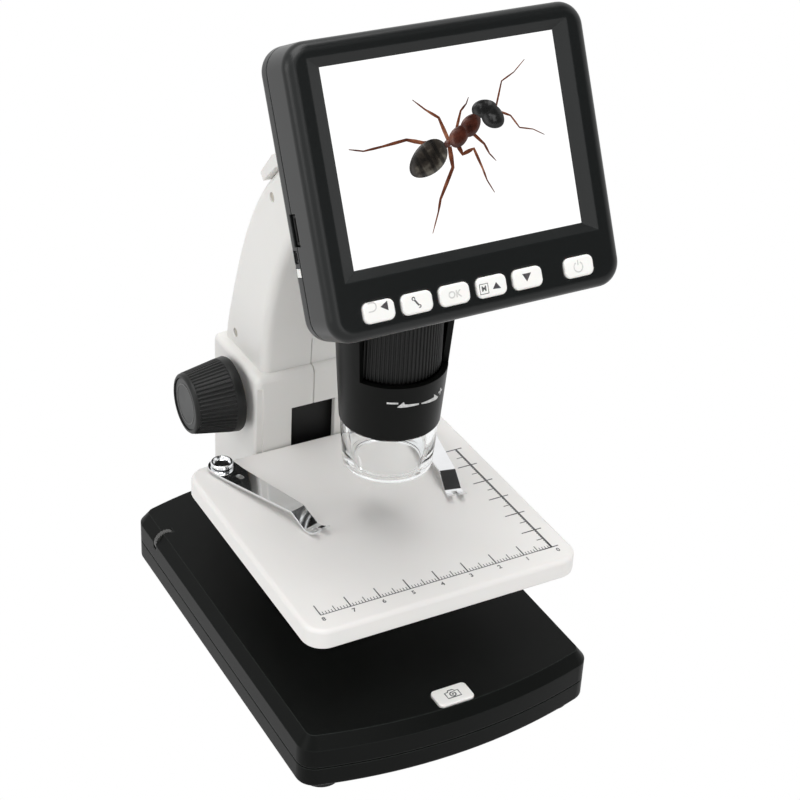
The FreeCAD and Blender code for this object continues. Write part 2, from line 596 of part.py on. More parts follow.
def make_stage():
    """The stage plate, its carriage, rack, shield, screws and studs."""
    plate = rounded_box(-STAGE_HALF, STAGE_HALF, STAGE_FRONT, STAGE_BACK, STAGE_BOTTOM, STAGE_TOP,
                        STAGE_CORNER)
    plate = plate.makeFillet(1.5, edges_at_height(plate, STAGE_TOP))
    plate = plate.makeFillet(1.0, edges_at_height(plate, STAGE_BOTTOM))
    under = rounded_box(-STAGE_HALF + 2.6, STAGE_HALF - 2.6, STAGE_FRONT + 2.6, STAGE_BACK - 2.6,
                        STAGE_BOTTOM - CUT, STAGE_TOP - 3.0, STAGE_CORNER - 2.6)
    pad = box(-12, 12, -10, STAGE_BACK, STAGE_BOTTOM, STAGE_TOP - 2.9)
    ribs = box(-STAGE_HALF + 2, STAGE_HALF - 2, -16, -14, STAGE_BOTTOM + 1, STAGE_TOP - 2.9)
    cross = box(-1, 1, STAGE_FRONT + 2, -10, STAGE_BOTTOM + 1, STAGE_TOP - 2.9)
    plate = plate.cut(under).fuse(pad).fuse(ribs).fuse(cross)
    bosses = []
    for side in (-1, 1):
        boss_start = Vector(side * CLIP_STUD_X, CLIP_STUD_Y, STAGE_BOTTOM + 1)
        bosses.append(Part.makeCylinder(4.0, STAGE_THICK - 3.9, boss_start))
    for boss in bosses:
        plate = plate.fuse(boss)
    for side in (-1, 1):
        hole_start = Vector(side * CLIP_STUD_X, CLIP_STUD_Y, STAGE_BOTTOM)
        plate = plate.cut(Part.makeCylinder(1.5, STAGE_THICK + 2, hole_start))
    screws = []
    for x in (-8, 8):
        for y in (-4, 20):
            plate = plate.cut(Part.makeCylinder(1.2, 3.6, Vector(x, y, STAGE_BOTTOM - 0.1)))
            head = Part.makeCylinder(2.4, 1.6, Vector(x, y, STAGE_BOTTOM - 6.0))
            stem = Part.makeCylinder(1.15, 9.4, Vector(x, y, STAGE_BOTTOM - 6.0))
            screws.append(head.fuse(stem))
    save("stage_plate", plate.removeSplitter())
    save("stage_screws", *screws)

    rider = box(-17, 17, CARRIAGE_FRONT, CARRIAGE_BACK, 40, 56)
    neck = box(-7.5, 7.5, STAGE_BACK, CARRIAGE_FRONT, 44, 50)
    tongue = box(-12, 12, -9, STAGE_BACK, 44, STAGE_BOTTOM)
    corners = [Vector(-20, y, z) for y, z in ((-10, 43), (-10, 48.5), (10, 43), (-10, 43))]
    tongue = tongue.cut(Part.Face(Part.makePolygon(corners)).extrude(Vector(40, 0, 0)))
    carriage = rider.fuse(neck).fuse(tongue)
    for x in (-ROD_X, ROD_X):
        carriage = carriage.cut(Part.makeCylinder(ROD_RADIUS + RUNNING_GAP, 30, Vector(x, ROD_Y, 35)))
    for x in (-8, 8):
        for y in (-4, 20):
            carriage = carriage.cut(Part.makeCylinder(1.3, 12, Vector(x, y, 40)))
            carriage = carriage.cut(Part.makeCylinder(2.6, 5.6, Vector(x, y, 40)))
    save("stage_carriage", carriage.removeSplitter())
    save("focus_rack", make_rack())
    shield = box(-10, 10, CARRIAGE_FRONT - 0.7, CARRIAGE_FRONT, 30, 79)
    shield = shield.cut(box(-7.5, 7.5, 36, 39, 44, 50))
    save("dust_shield", shield)
    studs = []
    for side in (-1, 1):
        def at(z):
            return Vector(side * CLIP_STUD_X, CLIP_STUD_Y, z)
        stem = Part.makeCylinder(1.5, 9.0, at(STAGE_BOTTOM + 0.4))
        head = Part.makeCylinder(3.7, 2.2, at(STAGE_TOP + 2.1))
        head = head.makeFillet(0.3, edges_at_height(head, STAGE_TOP + 4.3))
        dish = Part.makeSphere(4.6, at(STAGE_TOP + 2.9 + 4.6))
        foot = Part.makeCylinder(3.2, 0.6, at(STAGE_TOP))
        studs.append(stem.fuse(head).fuse(foot).cut(dish))
    save("clip_studs", *studs)


def make_clip(side, angle):
    """A spring clip that lies along -Y from its stud, then turned to its place."""
    low = STAGE_TOP + 1.0
    line = [
        (4.5, low), (-6.0, low), (-CLIP_LENGTH, low + 2.6), (-CLIP_LENGTH - 6.4, STAGE_TOP + 0.2),
        (-CLIP_LENGTH - 8.2, STAGE_TOP + 0.3), (-CLIP_LENGTH - 10.2, STAGE_TOP + 1.1),
        (-CLIP_LENGTH - 11.8, STAGE_TOP + 2.4),
    ]
    upper = [(y, z + CLIP_SHEET) for y, z in reversed(line)]
    points = [Vector(-12, y, z) for y, z in line + upper]
    strip = Part.Face(Part.makePolygon(points + [points[0]])).extrude(Vector(24, 0, 0))
    end = -CLIP_LENGTH - 13
    flat = [(-4.5, 0), (-2.7, -CLIP_LENGTH), (-2.9, end), (2.9, end), (2.7, -CLIP_LENGTH), (4.5, 0)]
    points = [Vector(x, y, 50) for x, y in flat]
    outline = Part.Face(Part.makePolygon(points + [points[0]])).extrude(Vector(0, 0, 20))
    outline = outline.fuse(Part.makeCylinder(4.5, 20, Vector(0, 0, 50)))
    clip = strip.common(outline)
    fork = box(-0.9, 0.9, end - CUT, -CLIP_LENGTH - 7.4, 50, 70)
    clip = clip.cut(fork).cut(Part.makeCylinder(1.5 + RUNNING_GAP, 20, Vector(0, 0, 50)))
    clip = clip.cut(rounded_box(-0.9, 0.9, -10.5, -7.5, 50, 70, 0.8))
    clip.rotate(Vector(0, 0, 0), Z_AXIS, -side * angle)
    clip.translate(Vector(side * CLIP_STUD_X, CLIP_STUD_Y, 0))
    return clip.removeSplitter()


def make_tube():
    """Camera tube, zoom ring, lens parts, lamp ring and the clear cap."""
    shell = tube_cone(TUBE_BOTTOM, TUBE_TOP, 0)
    shell = shell.makeFillet(0.6, edges_at_height(shell, TUBE_BOTTOM))
    shell = shell.cut(tube_cone(TUBE_BOTTOM - CUT, TUBE_TOP + CUT, TUBE_WALL))
    shell = shell.cut(window_wedge(WINDOW_SPREAD, WINDOW_BOTTOM, WINDOW_TOP))
    save("camera_tube", shell)

    ring_low = WINDOW_BOTTOM + 0.4
    ring_high = WINDOW_TOP - 0.4
    ring_radius = tube_radius(WINDOW_BOTTOM) - TUBE_WALL - 0.3
    ring = Part.makeCylinder(ring_radius, ring_high - ring_low, Vector(0, TUBE_Y, ring_low))
    for step in range(RING_RIBS):
        angle = 2 * math.pi * step / RING_RIBS
        x = (ring_radius + 0.2) * math.cos(angle)
        y = TUBE_Y + (ring_radius + 0.2) * math.sin(angle)
        ring = ring.cut(Part.makeCylinder(RING_GROOVE, ring_high - ring_low, Vector(x, y, ring_low)))
    ring = ring.cut(Part.makeCylinder(10.05, 60, Vector(0, TUBE_Y, 100)))
    save("zoom_ring", ring)

    barrel = Part.makeCylinder(10.0, 47.0, Vector(0, TUBE_Y, 104.0))
    barrel = barrel.cut(Part.makeCylinder(6.5, 60, Vector(0, TUBE_Y, 100)))
    flange = Part.makeCylinder(tube_radius(104) - TUBE_WALL, 2.0, Vector(0, TUBE_Y, 104.0))
    flange = flange.cut(Part.makeCylinder(9.0, 10, Vector(0, TUBE_Y, 100)))
    save("lens_barrel", barrel.fuse(flange))
    lenses = []
    for z in (106.0, 120.0):
        disc = Part.makeCylinder(6.5, 3.0, Vector(0, TUBE_Y, z))
        crown = Part.makeSphere(14.0, Vector(0, TUBE_Y, z + 3.2 - 14.0))
        lenses.append(disc.common(crown))
    save("lenses", *lenses)
    lamp = Part.makeCylinder(13.2, 1.2, Vector(0, TUBE_Y, 99.4))
    lamp = lamp.cut(Part.makeCylinder(7.0, 10, Vector(0, TUBE_Y, 95)))
    save("lamp_board", lamp)
    lamps = []
    for step in range(8):
        angle = math.radians(step * 45)
        spot = Vector(10.2 * math.cos(angle), TUBE_Y + 10.2 * math.sin(angle), 97.9)
        lamps.append(Part.makeCylinder(1.4, 1.5, spot))
    save("white_lamps", *lamps)
    sensor = box(-9, 9, TUBE_Y - 9, TUBE_Y + 9, 151.0, 152.4)
    chip = box(-4, 4, TUBE_Y - 4, TUBE_Y + 4, 149.6, 151.0)
    save("sensor_board", sensor.fuse(chip))
    hood = make_clear_cap()
    save("clear_cap", hood)


def make_clear_cap():
    """The clear distance cap: a thin taper with a turned-in lower rim."""
    profile = [
        (CAP_TOP_RADIUS - 1.6, TUBE_BOTTOM + 2.0), (CAP_TOP_RADIUS - 1.6, TUBE_BOTTOM - 0.2),
        (CAP_TOP_RADIUS, TUBE_BOTTOM - 0.2), (CAP_BOTTOM_RADIUS, CAP_BOTTOM + 0.8),
        (CAP_BOTTOM_RADIUS - 0.8, CAP_BOTTOM), (CAP_MOUTH_RADIUS, CAP_BOTTOM),
        (CAP_MOUTH_RADIUS, CAP_BOTTOM + 1.3), (CAP_BOTTOM_RADIUS - 1.6, CAP_BOTTOM + 1.6),
        (CAP_TOP_RADIUS - 2.9, TUBE_BOTTOM + 2.0),
    ]
    points = [Vector(r, TUBE_Y, z) for r, z in profile]
    face = Part.Face(Part.makePolygon(points + [points[0]]))
    return face.revolve(Vector(0, TUBE_Y, 0), Z_AXIS, 360)


def unit_slab(d0, d1, inset=0.0, front_edge=0.0, back_edge=0.0):
    """A slice of the screen unit's outline in its own frame."""
    corner = UNIT_CORNER - inset
    slab = box(-UNIT_HALF + inset, UNIT_HALF - inset, UNIT_BOTTOM + inset, UNIT_TOP - inset, d0, d1)
    slab = slab.makeFillet(corner, edges_along(slab, Z_AXIS))
    if front_edge:
        slab = slab.makeFillet(front_edge, edges_at_height(slab, d1))
    if back_edge:
        slab = slab.makeFillet(back_edge, edges_at_height(slab, d0))
    return slab


def key_form(u, grow, d0, d1):
    """A key's upright form, grown by a gap."""
    half = KEY_WIDTH / 2 + grow
    tall = KEY_HEIGHT / 2 + grow
    return rounded_box(u - half, u + half, KEY_V - tall, KEY_V + tall, d0, d1, 1.8 + grow)


def make_screen_unit():
    """Bezel, back shell, panel, boards, keys, ports and hinge pin."""
    bezel = unit_slab(UNIT_SEAM, 0, 0, UNIT_EDGE)
    bezel = bezel.cut(unit_slab(UNIT_SEAM - CUT, -GLASS_DEPTH - 2.0, BEZEL_WALL))
    outer = Part.makePolygon([Vector(u * BEVEL_HALF_U, v * BEVEL_HALF_V, 0)
                              for u, v in ((-1, -1), (1, -1), (1, 1), (-1, 1), (-1, -1))])
    inner = Part.makePolygon([Vector(u * GLASS_HALF_U, v * GLASS_HALF_V, -GLASS_DEPTH)
                              for u, v in ((-1, -1), (1, -1), (1, 1), (-1, 1), (-1, -1))])
    bezel = bezel.cut(Part.makeLoft([outer, inner], True, True))
    bezel = bezel.cut(box(-GLASS_HALF_U, GLASS_HALF_U, -GLASS_HALF_V, GLASS_HALF_V, -6, -GLASS_DEPTH + 0.1))
    for u in KEY_U:
        bezel = bezel.cut(key_form(u, BUTTON_GAP, -8, 2))
    bezel = bezel.cut(box(-UNIT_HALF - 1, -UNIT_HALF + 3, -18.4, -9.6, UNIT_SEAM - 1, -10.4))
    save("screen_bezel", in_unit(bezel.removeSplitter()))

    shell = unit_slab(UNIT_BACK, UNIT_SEAM - 0.02, 0, 0, UNIT_EDGE)
    shell = shell.cut(unit_slab(UNIT_BACK + BEZEL_WALL, UNIT_SEAM + CUT, BEZEL_WALL))
    rim = unit_slab(UNIT_SEAM - GROOVE, UNIT_SEAM).cut(unit_slab(UNIT_SEAM - GROOVE, UNIT_SEAM, GROOVE))
    shell = shell.cut(rim)
    shell = shell.cut(box(-UNIT_HALF - 1, -UNIT_HALF + 3, -18.4, -9.6, -14.2, UNIT_SEAM + 1))
    shell = shell.cut(box(-UNIT_HALF - 1, -UNIT_HALF + 3, -22.9, -19.3, -16.2, -13.6))
    shell = shell.cut(box(-UNIT_HALF - 1, -UNIT_HALF + 3, -26.8, -24.0, -16.2, -13.2))
    for side in (-1, 1):
        u0 = min(side * EAR_INNER, side * EAR_OUTER)
        u1 = max(side * EAR_INNER, side * EAR_OUTER)
        ear = box(u0, u1, HINGE_V - HINGE_RADIUS, HINGE_V + HINGE_RADIUS, HINGE_D, UNIT_BACK + 0.5)
        knuckle = rod(HINGE_RADIUS, Vector(u0, HINGE_V, HINGE_D), Vector(u1, HINGE_V, HINGE_D))
        hole = rod(HINGE_PIN_RADIUS, Vector(u0 - 1, HINGE_V, HINGE_D), Vector(u1 + 1, HINGE_V, HINGE_D))
        shell = shell.fuse(ear).fuse(knuckle).cut(hole)
    corner_screws = []
    for u in (-38, 38):
        for v in (-38, 27):
            shell = shell.cut(rod(2.2, Vector(u, v, UNIT_BACK - 1), Vector(u, v, UNIT_BACK + 1.0)))
            head = rod(2.0, Vector(u, v, UNIT_BACK + 0.3), Vector(u, v, UNIT_BACK + 1.0))
            corner_screws.append(in_unit(head))
    save("screen_back", in_unit(shell.removeSplitter()))
    save("screen_screws", *corner_screws)
    pin = rod(HINGE_PIN_RADIUS, Vector(-EAR_OUTER, HINGE_V, HINGE_D), Vector(EAR_OUTER, HINGE_V, HINGE_D))
    save("hinge_pin", in_unit(pin))

    window = box(-GLASS_HALF_U - 1.5, GLASS_HALF_U + 1.5, -GLASS_HALF_V - 1.5, GLASS_HALF_V + 1.5, -4.9, -3.8)
    window = window.fuse(box(-GLASS_HALF_U, GLASS_HALF_U, -GLASS_HALF_V, GLASS_HALF_V, -3.8, -GLASS_DEPTH))
    save("screen_window", in_unit(window.removeSplitter()))
    panel = box(-38.4, 38.4, -29.0, 29.0, -8.4, -4.9)
    save("display_panel", in_unit(panel))
    board = box(-41, 41, -42, 30, -11.2, -9.8)
    save("main_board", in_unit(board))
    key_board = box(-38, 38, -42, -34, -6.2, -5.2)
    save("key_board", in_unit(key_board))
    card = box(-UNIT_HALF + 0.7, -UNIT_HALF + 15, -18.0, -10.0, -13.8, -11.2)
    card = card.cut(box(-UNIT_HALF, -UNIT_HALF + 13, -17.2, -10.8, -13.2, -12.2))
    save("card_slot", in_unit(card))
    port = box(-UNIT_HALF + 0.5, -UNIT_HALF + 8, -22.7, -19.5, -16.0, -13.8)
    port = port.cut(box(-UNIT_HALF, -UNIT_HALF + 6, -22.2, -20.0, -15.5, -14.3))
    save("usb_port", in_unit(port))
    lamp = box(-UNIT_HALF + 0.05, -UNIT_HALF + 5, -26.6, -24.2, -16.0, -13.4)
    save("status_lamp", in_unit(lamp))
    for name, u in zip(KEY_NAMES, KEY_U):
        half = KEY_WIDTH / 2
        tall = KEY_HEIGHT / 2
        key = rounded_box(u - half, u + half, KEY_V - tall, KEY_V + tall, -4.4, KEY_PROUD, 1.8, 0.6)
        save("key_%s" % name, in_unit(key))


def main():
    """Build every piece."""
    make_base()
    make_base_controls()
    make_column()
    save("side_screws", *make_side_screws())
    make_arm_cover()
    make_drive()
    make_stage()
    save("clip_left", make_clip(-1, CLIP_LEFT_ANGLE))
    save("clip_right", make_clip(1, CLIP_RIGHT_ANGLE))
    make_tube()
    make_screen_unit()
    print("hinge point", HINGE_POINT)


if __name__ == "__main__":
    main()
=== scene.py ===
import logging
import math
from dataclasses import dataclass
from enum import Enum

import bmesh
import bpy
from mathutils import Matrix, Vector


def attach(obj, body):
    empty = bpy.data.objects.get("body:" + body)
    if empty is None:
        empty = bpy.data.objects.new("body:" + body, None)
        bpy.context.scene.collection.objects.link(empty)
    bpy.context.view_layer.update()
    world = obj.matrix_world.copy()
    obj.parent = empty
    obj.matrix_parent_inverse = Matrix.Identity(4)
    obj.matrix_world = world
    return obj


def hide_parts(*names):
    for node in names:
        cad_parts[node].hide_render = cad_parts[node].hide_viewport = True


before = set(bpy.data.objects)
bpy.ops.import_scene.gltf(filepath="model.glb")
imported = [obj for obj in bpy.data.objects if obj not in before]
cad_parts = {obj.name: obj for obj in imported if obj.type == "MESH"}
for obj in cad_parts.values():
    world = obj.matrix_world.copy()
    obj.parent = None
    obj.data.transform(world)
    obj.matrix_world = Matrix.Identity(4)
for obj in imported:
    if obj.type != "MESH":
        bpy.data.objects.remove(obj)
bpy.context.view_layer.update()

LOG = logging.getLogger("microscope")

Socket = bpy.types.NodeSocket
Material = bpy.types.Material
Piece = bpy.types.Object
Pair = tuple[float, float]
Triple = tuple[float, float, float]
Outline = list[Pair]

MM = 0.001
WELD_DISTANCE = 1e-5
SHARP_ANGLE = math.radians(35.0)
CAPITAL_SHARE = 0.7
WHITE = (1.0, 1.0, 1.0, 1.0)
LETTER_BOLDNESS = 0.035
RIB_POINTS = 5
RIB_SIDES = 8

# The screen unit's own directions: u to the right, v up the glass, d out of it
SCREEN_TILT = math.radians(25.96)
SCREEN_CENTRE = Vector((0.0, -47.79, 196.81))
SCREEN_U = Vector((1.0, 0.0, 0.0))
SCREEN_V = Vector((0.0, math.sin(SCREEN_TILT), math.cos(SCREEN_TILT)))
SCREEN_D = Vector((0.0, -math.cos(SCREEN_TILT), math.sin(SCREEN_TILT)))


class Body(Enum):
    """The bodies that the pieces made here ride on."""

    STAND = "stand"
    STAGE = "stage"
    DRIVE = "drive"
    RING = "ring"
    SCREEN = "screen"
    BACK_KEY = "back_key"
    SETUP_KEY = "setup_key"
    OK_KEY = "ok_key"
    MODE_KEY = "mode_key"
    DOWN_KEY = "down_key"
    POWER_KEY = "power_key"
    SNAPSHOT = "snapshot"


class Slot(Enum):
    """The record's material slots that the pieces take their finish from."""

    STAGE_WHITE = "stage_white"
    BLACK_TUBE = "black_tube"
    CHROME = "chrome"
    DISPLAY = "display"
    CLEAR_PLASTIC = "clear_plastic"
    WHITE_KEY = "white_key"


class Side(Enum):
    """The left and right of the microscope as the user sees it."""

    LEFT = -1
    RIGHT = 1


class ShaderGraph:
    """One material's node tree, with short ways to add and join its nodes."""

    def __init__(self, name: str) -> None:
        """Start an empty material.

        Args:
            name: The material's name.
        """
        self.material = bpy.data.materials.new(name)
        self.material.use_nodes = True
        self.tree = self.material.node_tree
        self.tree.nodes.clear()
        self.output = self.add("ShaderNodeOutputMaterial")
        self.coordinates = self.add("ShaderNodeTexCoord").outputs["Object"]

    def add(self, kind: str, **values: object) -> bpy.types.Node:
        """Add a node.

        Args:
            kind: The node's type.
            values: Its properties, by name.

        Returns:
            The new node.
        """
        node = self.tree.nodes.new(kind)
        for key, value in values.items():
            setattr(node, key, value)
        return node

    def join(self, start: Socket, end: Socket) -> None:
        """Link two sockets."""
        self.tree.links.new(start, end)

    def stretched(self, scale: Triple) -> Socket:
        """Object coordinates stretched along the axes.

        Args:
            scale: The stretch for each axis.

        Returns:
            The coordinates.
        """
        mapping = self.add("ShaderNodeMapping")
        mapping.inputs["Scale"].default_value = scale
        self.join(self.coordinates, mapping.inputs["Vector"])
        return mapping.outputs["Vector"]

    def noise(self, scale: float, detail: float = 2.0, vector: Socket | None = None) -> Socket:
        """A noise pattern.

        Args:
            scale: How fine it is, per metre.
            detail: How many finer layers it has.
            vector: The coordinates, or None for the object's own.

        Returns:
            The pattern's value, about 0.5 on average.
        """
        node = self.add("ShaderNodeTexNoise")
        node.inputs["Scale"].default_value = scale
        node.inputs["Detail"].default_value = detail
        self.join(vector or self.coordinates, node.inputs["Vector"])
        return node.outputs["Fac"]

    def ramp(self, value: Socket, stops: list[tuple[float, tuple[float, ...]]]) -> Socket:
        """Colours spread over a value.

        Args:
            value: What drives the ramp.
            stops: Positions from 0 to 1, each with its colour.

        Returns:
            The ramp's colour.
        """
        node = self.add("ShaderNodeValToRGB")
        elements = node.color_ramp.elements
        while len(elements) < len(stops):
            elements.new(1.0)
        for element, (position, colour) in zip(elements, stops):
            element.position = position
            element.color = (*colour[:3], 1.0)
        self.join(value, node.inputs["Fac"])
        return node.outputs["Color"]

    def spread(self, value: Socket, low: float, high: float) -> Socket:
        """Map a value from 0 to 1 to a range.

        Args:
            value: The value.
            low: What 0 becomes.
            high: What 1 becomes.

        Returns:
            The mapped value.
        """
        node = self.add("ShaderNodeMapRange")
        node.inputs["To Min"].default_value = low
        node.inputs["To Max"].default_value = high
        self.join(value, node.inputs["Value"])
        return node.outputs["Result"]

    def bump(self, height: Socket, depth: float, strength: float,
             normal: Socket | None = None) -> Socket:
        """A bumped normal.

        Args:
            height: The pattern that gives the height.
            depth: The height of the pattern, in metres.
            strength: How much of it shows.
            normal: A normal that it is laid over.

        Returns:
            The normal.
        """
        node = self.add("ShaderNodeBump")
        node.inputs["Distance"].default_value = depth
        node.inputs["Strength"].default_value = strength
        self.join(height, node.inputs["Height"])
        if normal is not None:
            self.join(normal, node.inputs["Normal"])
        return node.outputs["Normal"]

    def soft_edges(self, radius: float) -> Socket:
        """A normal that rounds the edges it meets.

        Args:
            radius: The rounding, in metres.

        Returns:
            The normal.
        """
        node = self.add("ShaderNodeBevel", samples=4)
        node.inputs["Radius"].default_value = radius
        return node.outputs["Normal"]

    def edge_mask(self, rounded: Socket) -> Socket:
        """A value that is 1 on flat faces and falls towards edges.

        Args:
            rounded: The normal from soft_edges.

        Returns:
            The value.
        """
        geometry = self.add("ShaderNodeNewGeometry")
        dot = self.add("ShaderNodeVectorMath", operation="DOT_PRODUCT")
        self.join(rounded, dot.inputs[0])
        self.join(geometry.outputs["Normal"], dot.inputs[1])
        return dot.outputs["Value"]

    def mix(self, factor: Socket, first: Socket | tuple[float, ...],
            second: Socket | tuple[float, ...]) -> Socket:
        """Mix two colours.

        Args:
            factor: 0 for the first, 1 for the second.
            first: A socket or a colour.
            second: A socket or a colour.

        Returns:
            The mixed colour.
        """
        node = self.add("ShaderNodeMix", data_type="RGBA")
        self.join(factor, node.inputs["Factor"])
        for socket, value in ((node.inputs[6], first), (node.inputs[7], second)):
            if isinstance(value, Socket):
                self.join(value, socket)
            else:
                socket.default_value = (*value[:3], 1.0)
        return node.outputs[2]

    def surface(self, **values: object) -> bpy.types.Node:
        """Add the Principled shader and join it to the output.

        Args:
            values: Plain values for its sockets, by name with underscores.

        Returns:
            The shader node.
        """
        shader = self.tree.nodes.new("ShaderNodeBsdfPrincipled")
        for key, value in values.items():
            socket = shader.inputs[key.replace("_", " ")]
            socket.default_value = (*value, 1.0) if isinstance(value, tuple) else value
        self.join(shader.outputs["BSDF"], self.output.inputs["Surface"])
        return shader


@dataclass(frozen=True)
class MouldedPlastic:
    """Injection-moulded plastic: a fine grain, slight mottle and a painted highlight that lifts the colour
    along its edges.
    """

    name: str
    colour: Triple
    roughness: float = 0.4
    grain_per_metre: float = 2600.0
    grain_depth: float = 0.00002
    grain_strength: float = 0.25
    mottle: float = 0.06
    # Painted highlight: how much the colour is lifted along edges, in place of the light that rounded edges
    # catch.
    edge_gain: float = 1.25
    edge_radius: float = 0.00035
    specular: float = 0.5
    through_light: float = 0.0
    through_depth: float = 0.0015
    clouds_per_metre: float = 38.0
    rough_range: Pair = (-0.05, 0.07)

    def build(self) -> Material:
        """Make the material.

        Returns:
            The material.
        """
        graph = ShaderGraph(self.name)
        shader = graph.surface(Specular_IOR_Level=self.specular, Subsurface_Weight=self.through_light,
                               Subsurface_Scale=self.through_depth)
        clouds = graph.noise(self.clouds_per_metre, 3.0)
        low = tuple(c * (1.0 - self.mottle) for c in self.colour)
        high = tuple(min(1.0, c * (1.0 + self.mottle)) for c in self.colour)
        flat = graph.ramp(clouds, [(0.3, low), (0.7, high)])
        rounded = graph.soft_edges(self.edge_radius)
        # Painted highlight: near edges the colour is multiplied by the edge gain, in place of the light that
        # rounded edges catch.
        edge = tuple(min(1.0, c * self.edge_gain) for c in self.colour)
        mask = graph.ramp(graph.edge_mask(rounded), [(0.80, (1.0, 1.0, 1.0)), (0.98, (0.0, 0.0, 0.0))])
        graph.join(graph.mix(mask, flat, edge), shader.inputs["Base Color"])
        grain = graph.noise(self.grain_per_metre, 2.0)
        smoother, rougher = (self.roughness + change for change in self.rough_range)
        rough = graph.spread(grain, smoother, rougher)
        graph.join(rough, shader.inputs["Roughness"])
        graph.join(graph.bump(grain, self.grain_depth, self.grain_strength, rounded), shader.inputs["Normal"])
        return graph.material


@dataclass(frozen=True)
class WorkedMetal:
    """Metal with fine lines along one axis and a faint smear in its shine."""

    name: str
    colour: Triple
    roughness: float
    line_scale: Triple = (400.0, 6000.0, 6000.0)
    line_depth: float = 0.00001
    line_strength: float = 0.12
    edge_radius: float = 0.00015
    smear_per_metre: float = 90.0
    smear_shade: float = 0.93
    rough_gains: Pair = (0.7, 1.35)

    def build(self) -> Material:
        """Make the material.

        Returns:
            The material.
        """
        graph = ShaderGraph(self.name)
        shader = graph.surface(Metallic=1.0)
        lines = graph.noise(1.0, 3.0, graph.stretched(self.line_scale))
        smear = graph.noise(self.smear_per_metre, 3.0)
        low = tuple(c * self.smear_shade for c in self.colour)
        graph.join(graph.ramp(smear, [(0.35, low), (0.65, self.colour)]), shader.inputs["Base Color"])
        smoother, rougher = (self.roughness * gain for gain in self.rough_gains)
        rough = graph.spread(smear, smoother, rougher)
        graph.join(rough, shader.inputs["Roughness"])
        rounded = graph.soft_edges(self.edge_radius)
        graph.join(graph.bump(lines, self.line_depth, self.line_strength, rounded), shader.inputs["Normal"])
        return graph.material


@dataclass(frozen=True)
class ClearPlastic:
    """See-through plastic or glass with faint moulding ripples."""

    name: str
    colour: Triple
    roughness: float
    refraction: float
    ripple_depth: float = 0.00003
    ripples_per_metre: float = 60.0
    ripple_shade: float = 0.985
    rough_gains: Pair = (0.6, 1.4)

    def build(self) -> Material:
        """Make the material.

        Returns:
            The material.
        """
        graph = ShaderGraph(self.name)
        shader = graph.surface(Transmission_Weight=1.0, IOR=self.refraction)
        waves = graph.noise(self.ripples_per_metre, 2.0)
        low = tuple(c * self.ripple_shade for c in self.colour)
        graph.join(graph.ramp(waves, [(0.3, low), (0.7, self.colour)]), shader.inputs["Base Color"])
        smoother, rougher = (self.roughness * gain for gain in self.rough_gains)
        rough = graph.spread(waves, smoother, rougher)
        graph.join(rough, shader.inputs["Roughness"])
        graph.join(graph.bump(waves, self.ripple_depth, 0.2), shader.inputs["Normal"])
        return graph.material


@dataclass(frozen=True)
class PrintedInk:
    """Pad-printed ink, a little uneven in its cover."""

    name: str
    colour: Triple
    thin_colour: Triple
    cover_per_metre: float = 1500.0
    ink_depth: float = 0.00001

    def build(self) -> Material:
        """Make the material.

        Returns:
            The material.
        """
        graph = ShaderGraph(self.name)
        shader = graph.surface(Roughness=0.55)
        cover = graph.noise(self.cover_per_metre, 3.0)
        tone = graph.ramp(cover, [(0.35, self.thin_colour), (0.6, self.colour)])
        graph.join(tone, shader.inputs["Base Color"])
        graph.join(graph.bump(cover, self.ink_depth, 0.2), shader.inputs["Normal"])
        return graph.material


@dataclass(frozen=True)
class Rubber:
    """Matt rubber with a coarse powdery grain."""

    name: str
    colour: Triple
    dust_per_metre: float = 700.0
    dust_gain: float = 2.2
    dust_depth: float = 0.00005
    edge_radius: float = 0.0005

    def build(self) -> Material:
        """Make the material.

        Returns:
            The material.
        """
        graph = ShaderGraph(self.name)
        shader = graph.surface(Specular_IOR_Level=0.3)
        dust = graph.noise(self.dust_per_metre, 4.0)
        pale = tuple(c * self.dust_gain for c in self.colour)
        graph.join(graph.ramp(dust, [(0.4, self.colour), (0.75, pale)]), shader.inputs["Base Color"])
        graph.join(graph.spread(dust, 0.75, 0.95), shader.inputs["Roughness"])
        rounded = graph.soft_edges(self.edge_radius)
        graph.join(graph.bump(dust, self.dust_depth, 0.4, rounded), shader.inputs["Normal"])
        return graph.material


@dataclass(frozen=True)
class CircuitBoard:
    """A coated board with a maze of tracks and tinned pads."""

    name: str
    coat: Triple
    track: Triple
    pad: Triple
    tracks_per_metre: float = 160.0
    track_width: float = 0.03
    pads_per_metre: float = 330.0
    track_depth: float = 0.00003

    def build(self) -> Material:
        """Make the material.

        Returns:
            The material.
        """
        graph = ShaderGraph(self.name)
        shader = graph.surface(Roughness=0.35)
        bricks = graph.add("ShaderNodeTexBrick", offset=0.4)
        bricks.inputs["Scale"].default_value = self.tracks_per_metre
        bricks.inputs["Mortar Size"].default_value = self.track_width
        bricks.inputs["Color1"].default_value = (*self.coat, 1.0)
        bricks.inputs["Color2"].default_value = (*(c * 0.85 for c in self.coat), 1.0)
        bricks.inputs["Mortar"].default_value = (*self.track, 1.0)
        graph.join(graph.coordinates, bricks.inputs["Vector"])
        cells = graph.add("ShaderNodeTexVoronoi")
        cells.inputs["Scale"].default_value = self.pads_per_metre
        graph.join(graph.coordinates, cells.inputs["Vector"])
        dots = graph.ramp(cells.outputs["Distance"], [(0.10, (1.0, 1.0, 1.0)), (0.13, (0.0, 0.0, 0.0))])
        graph.join(graph.mix(dots, bricks.outputs["Color"], self.pad), shader.inputs["Base Color"])
        graph.join(graph.bump(bricks.outputs["Fac"], self.track_depth, 0.4), shader.inputs["Normal"])
        return graph.material


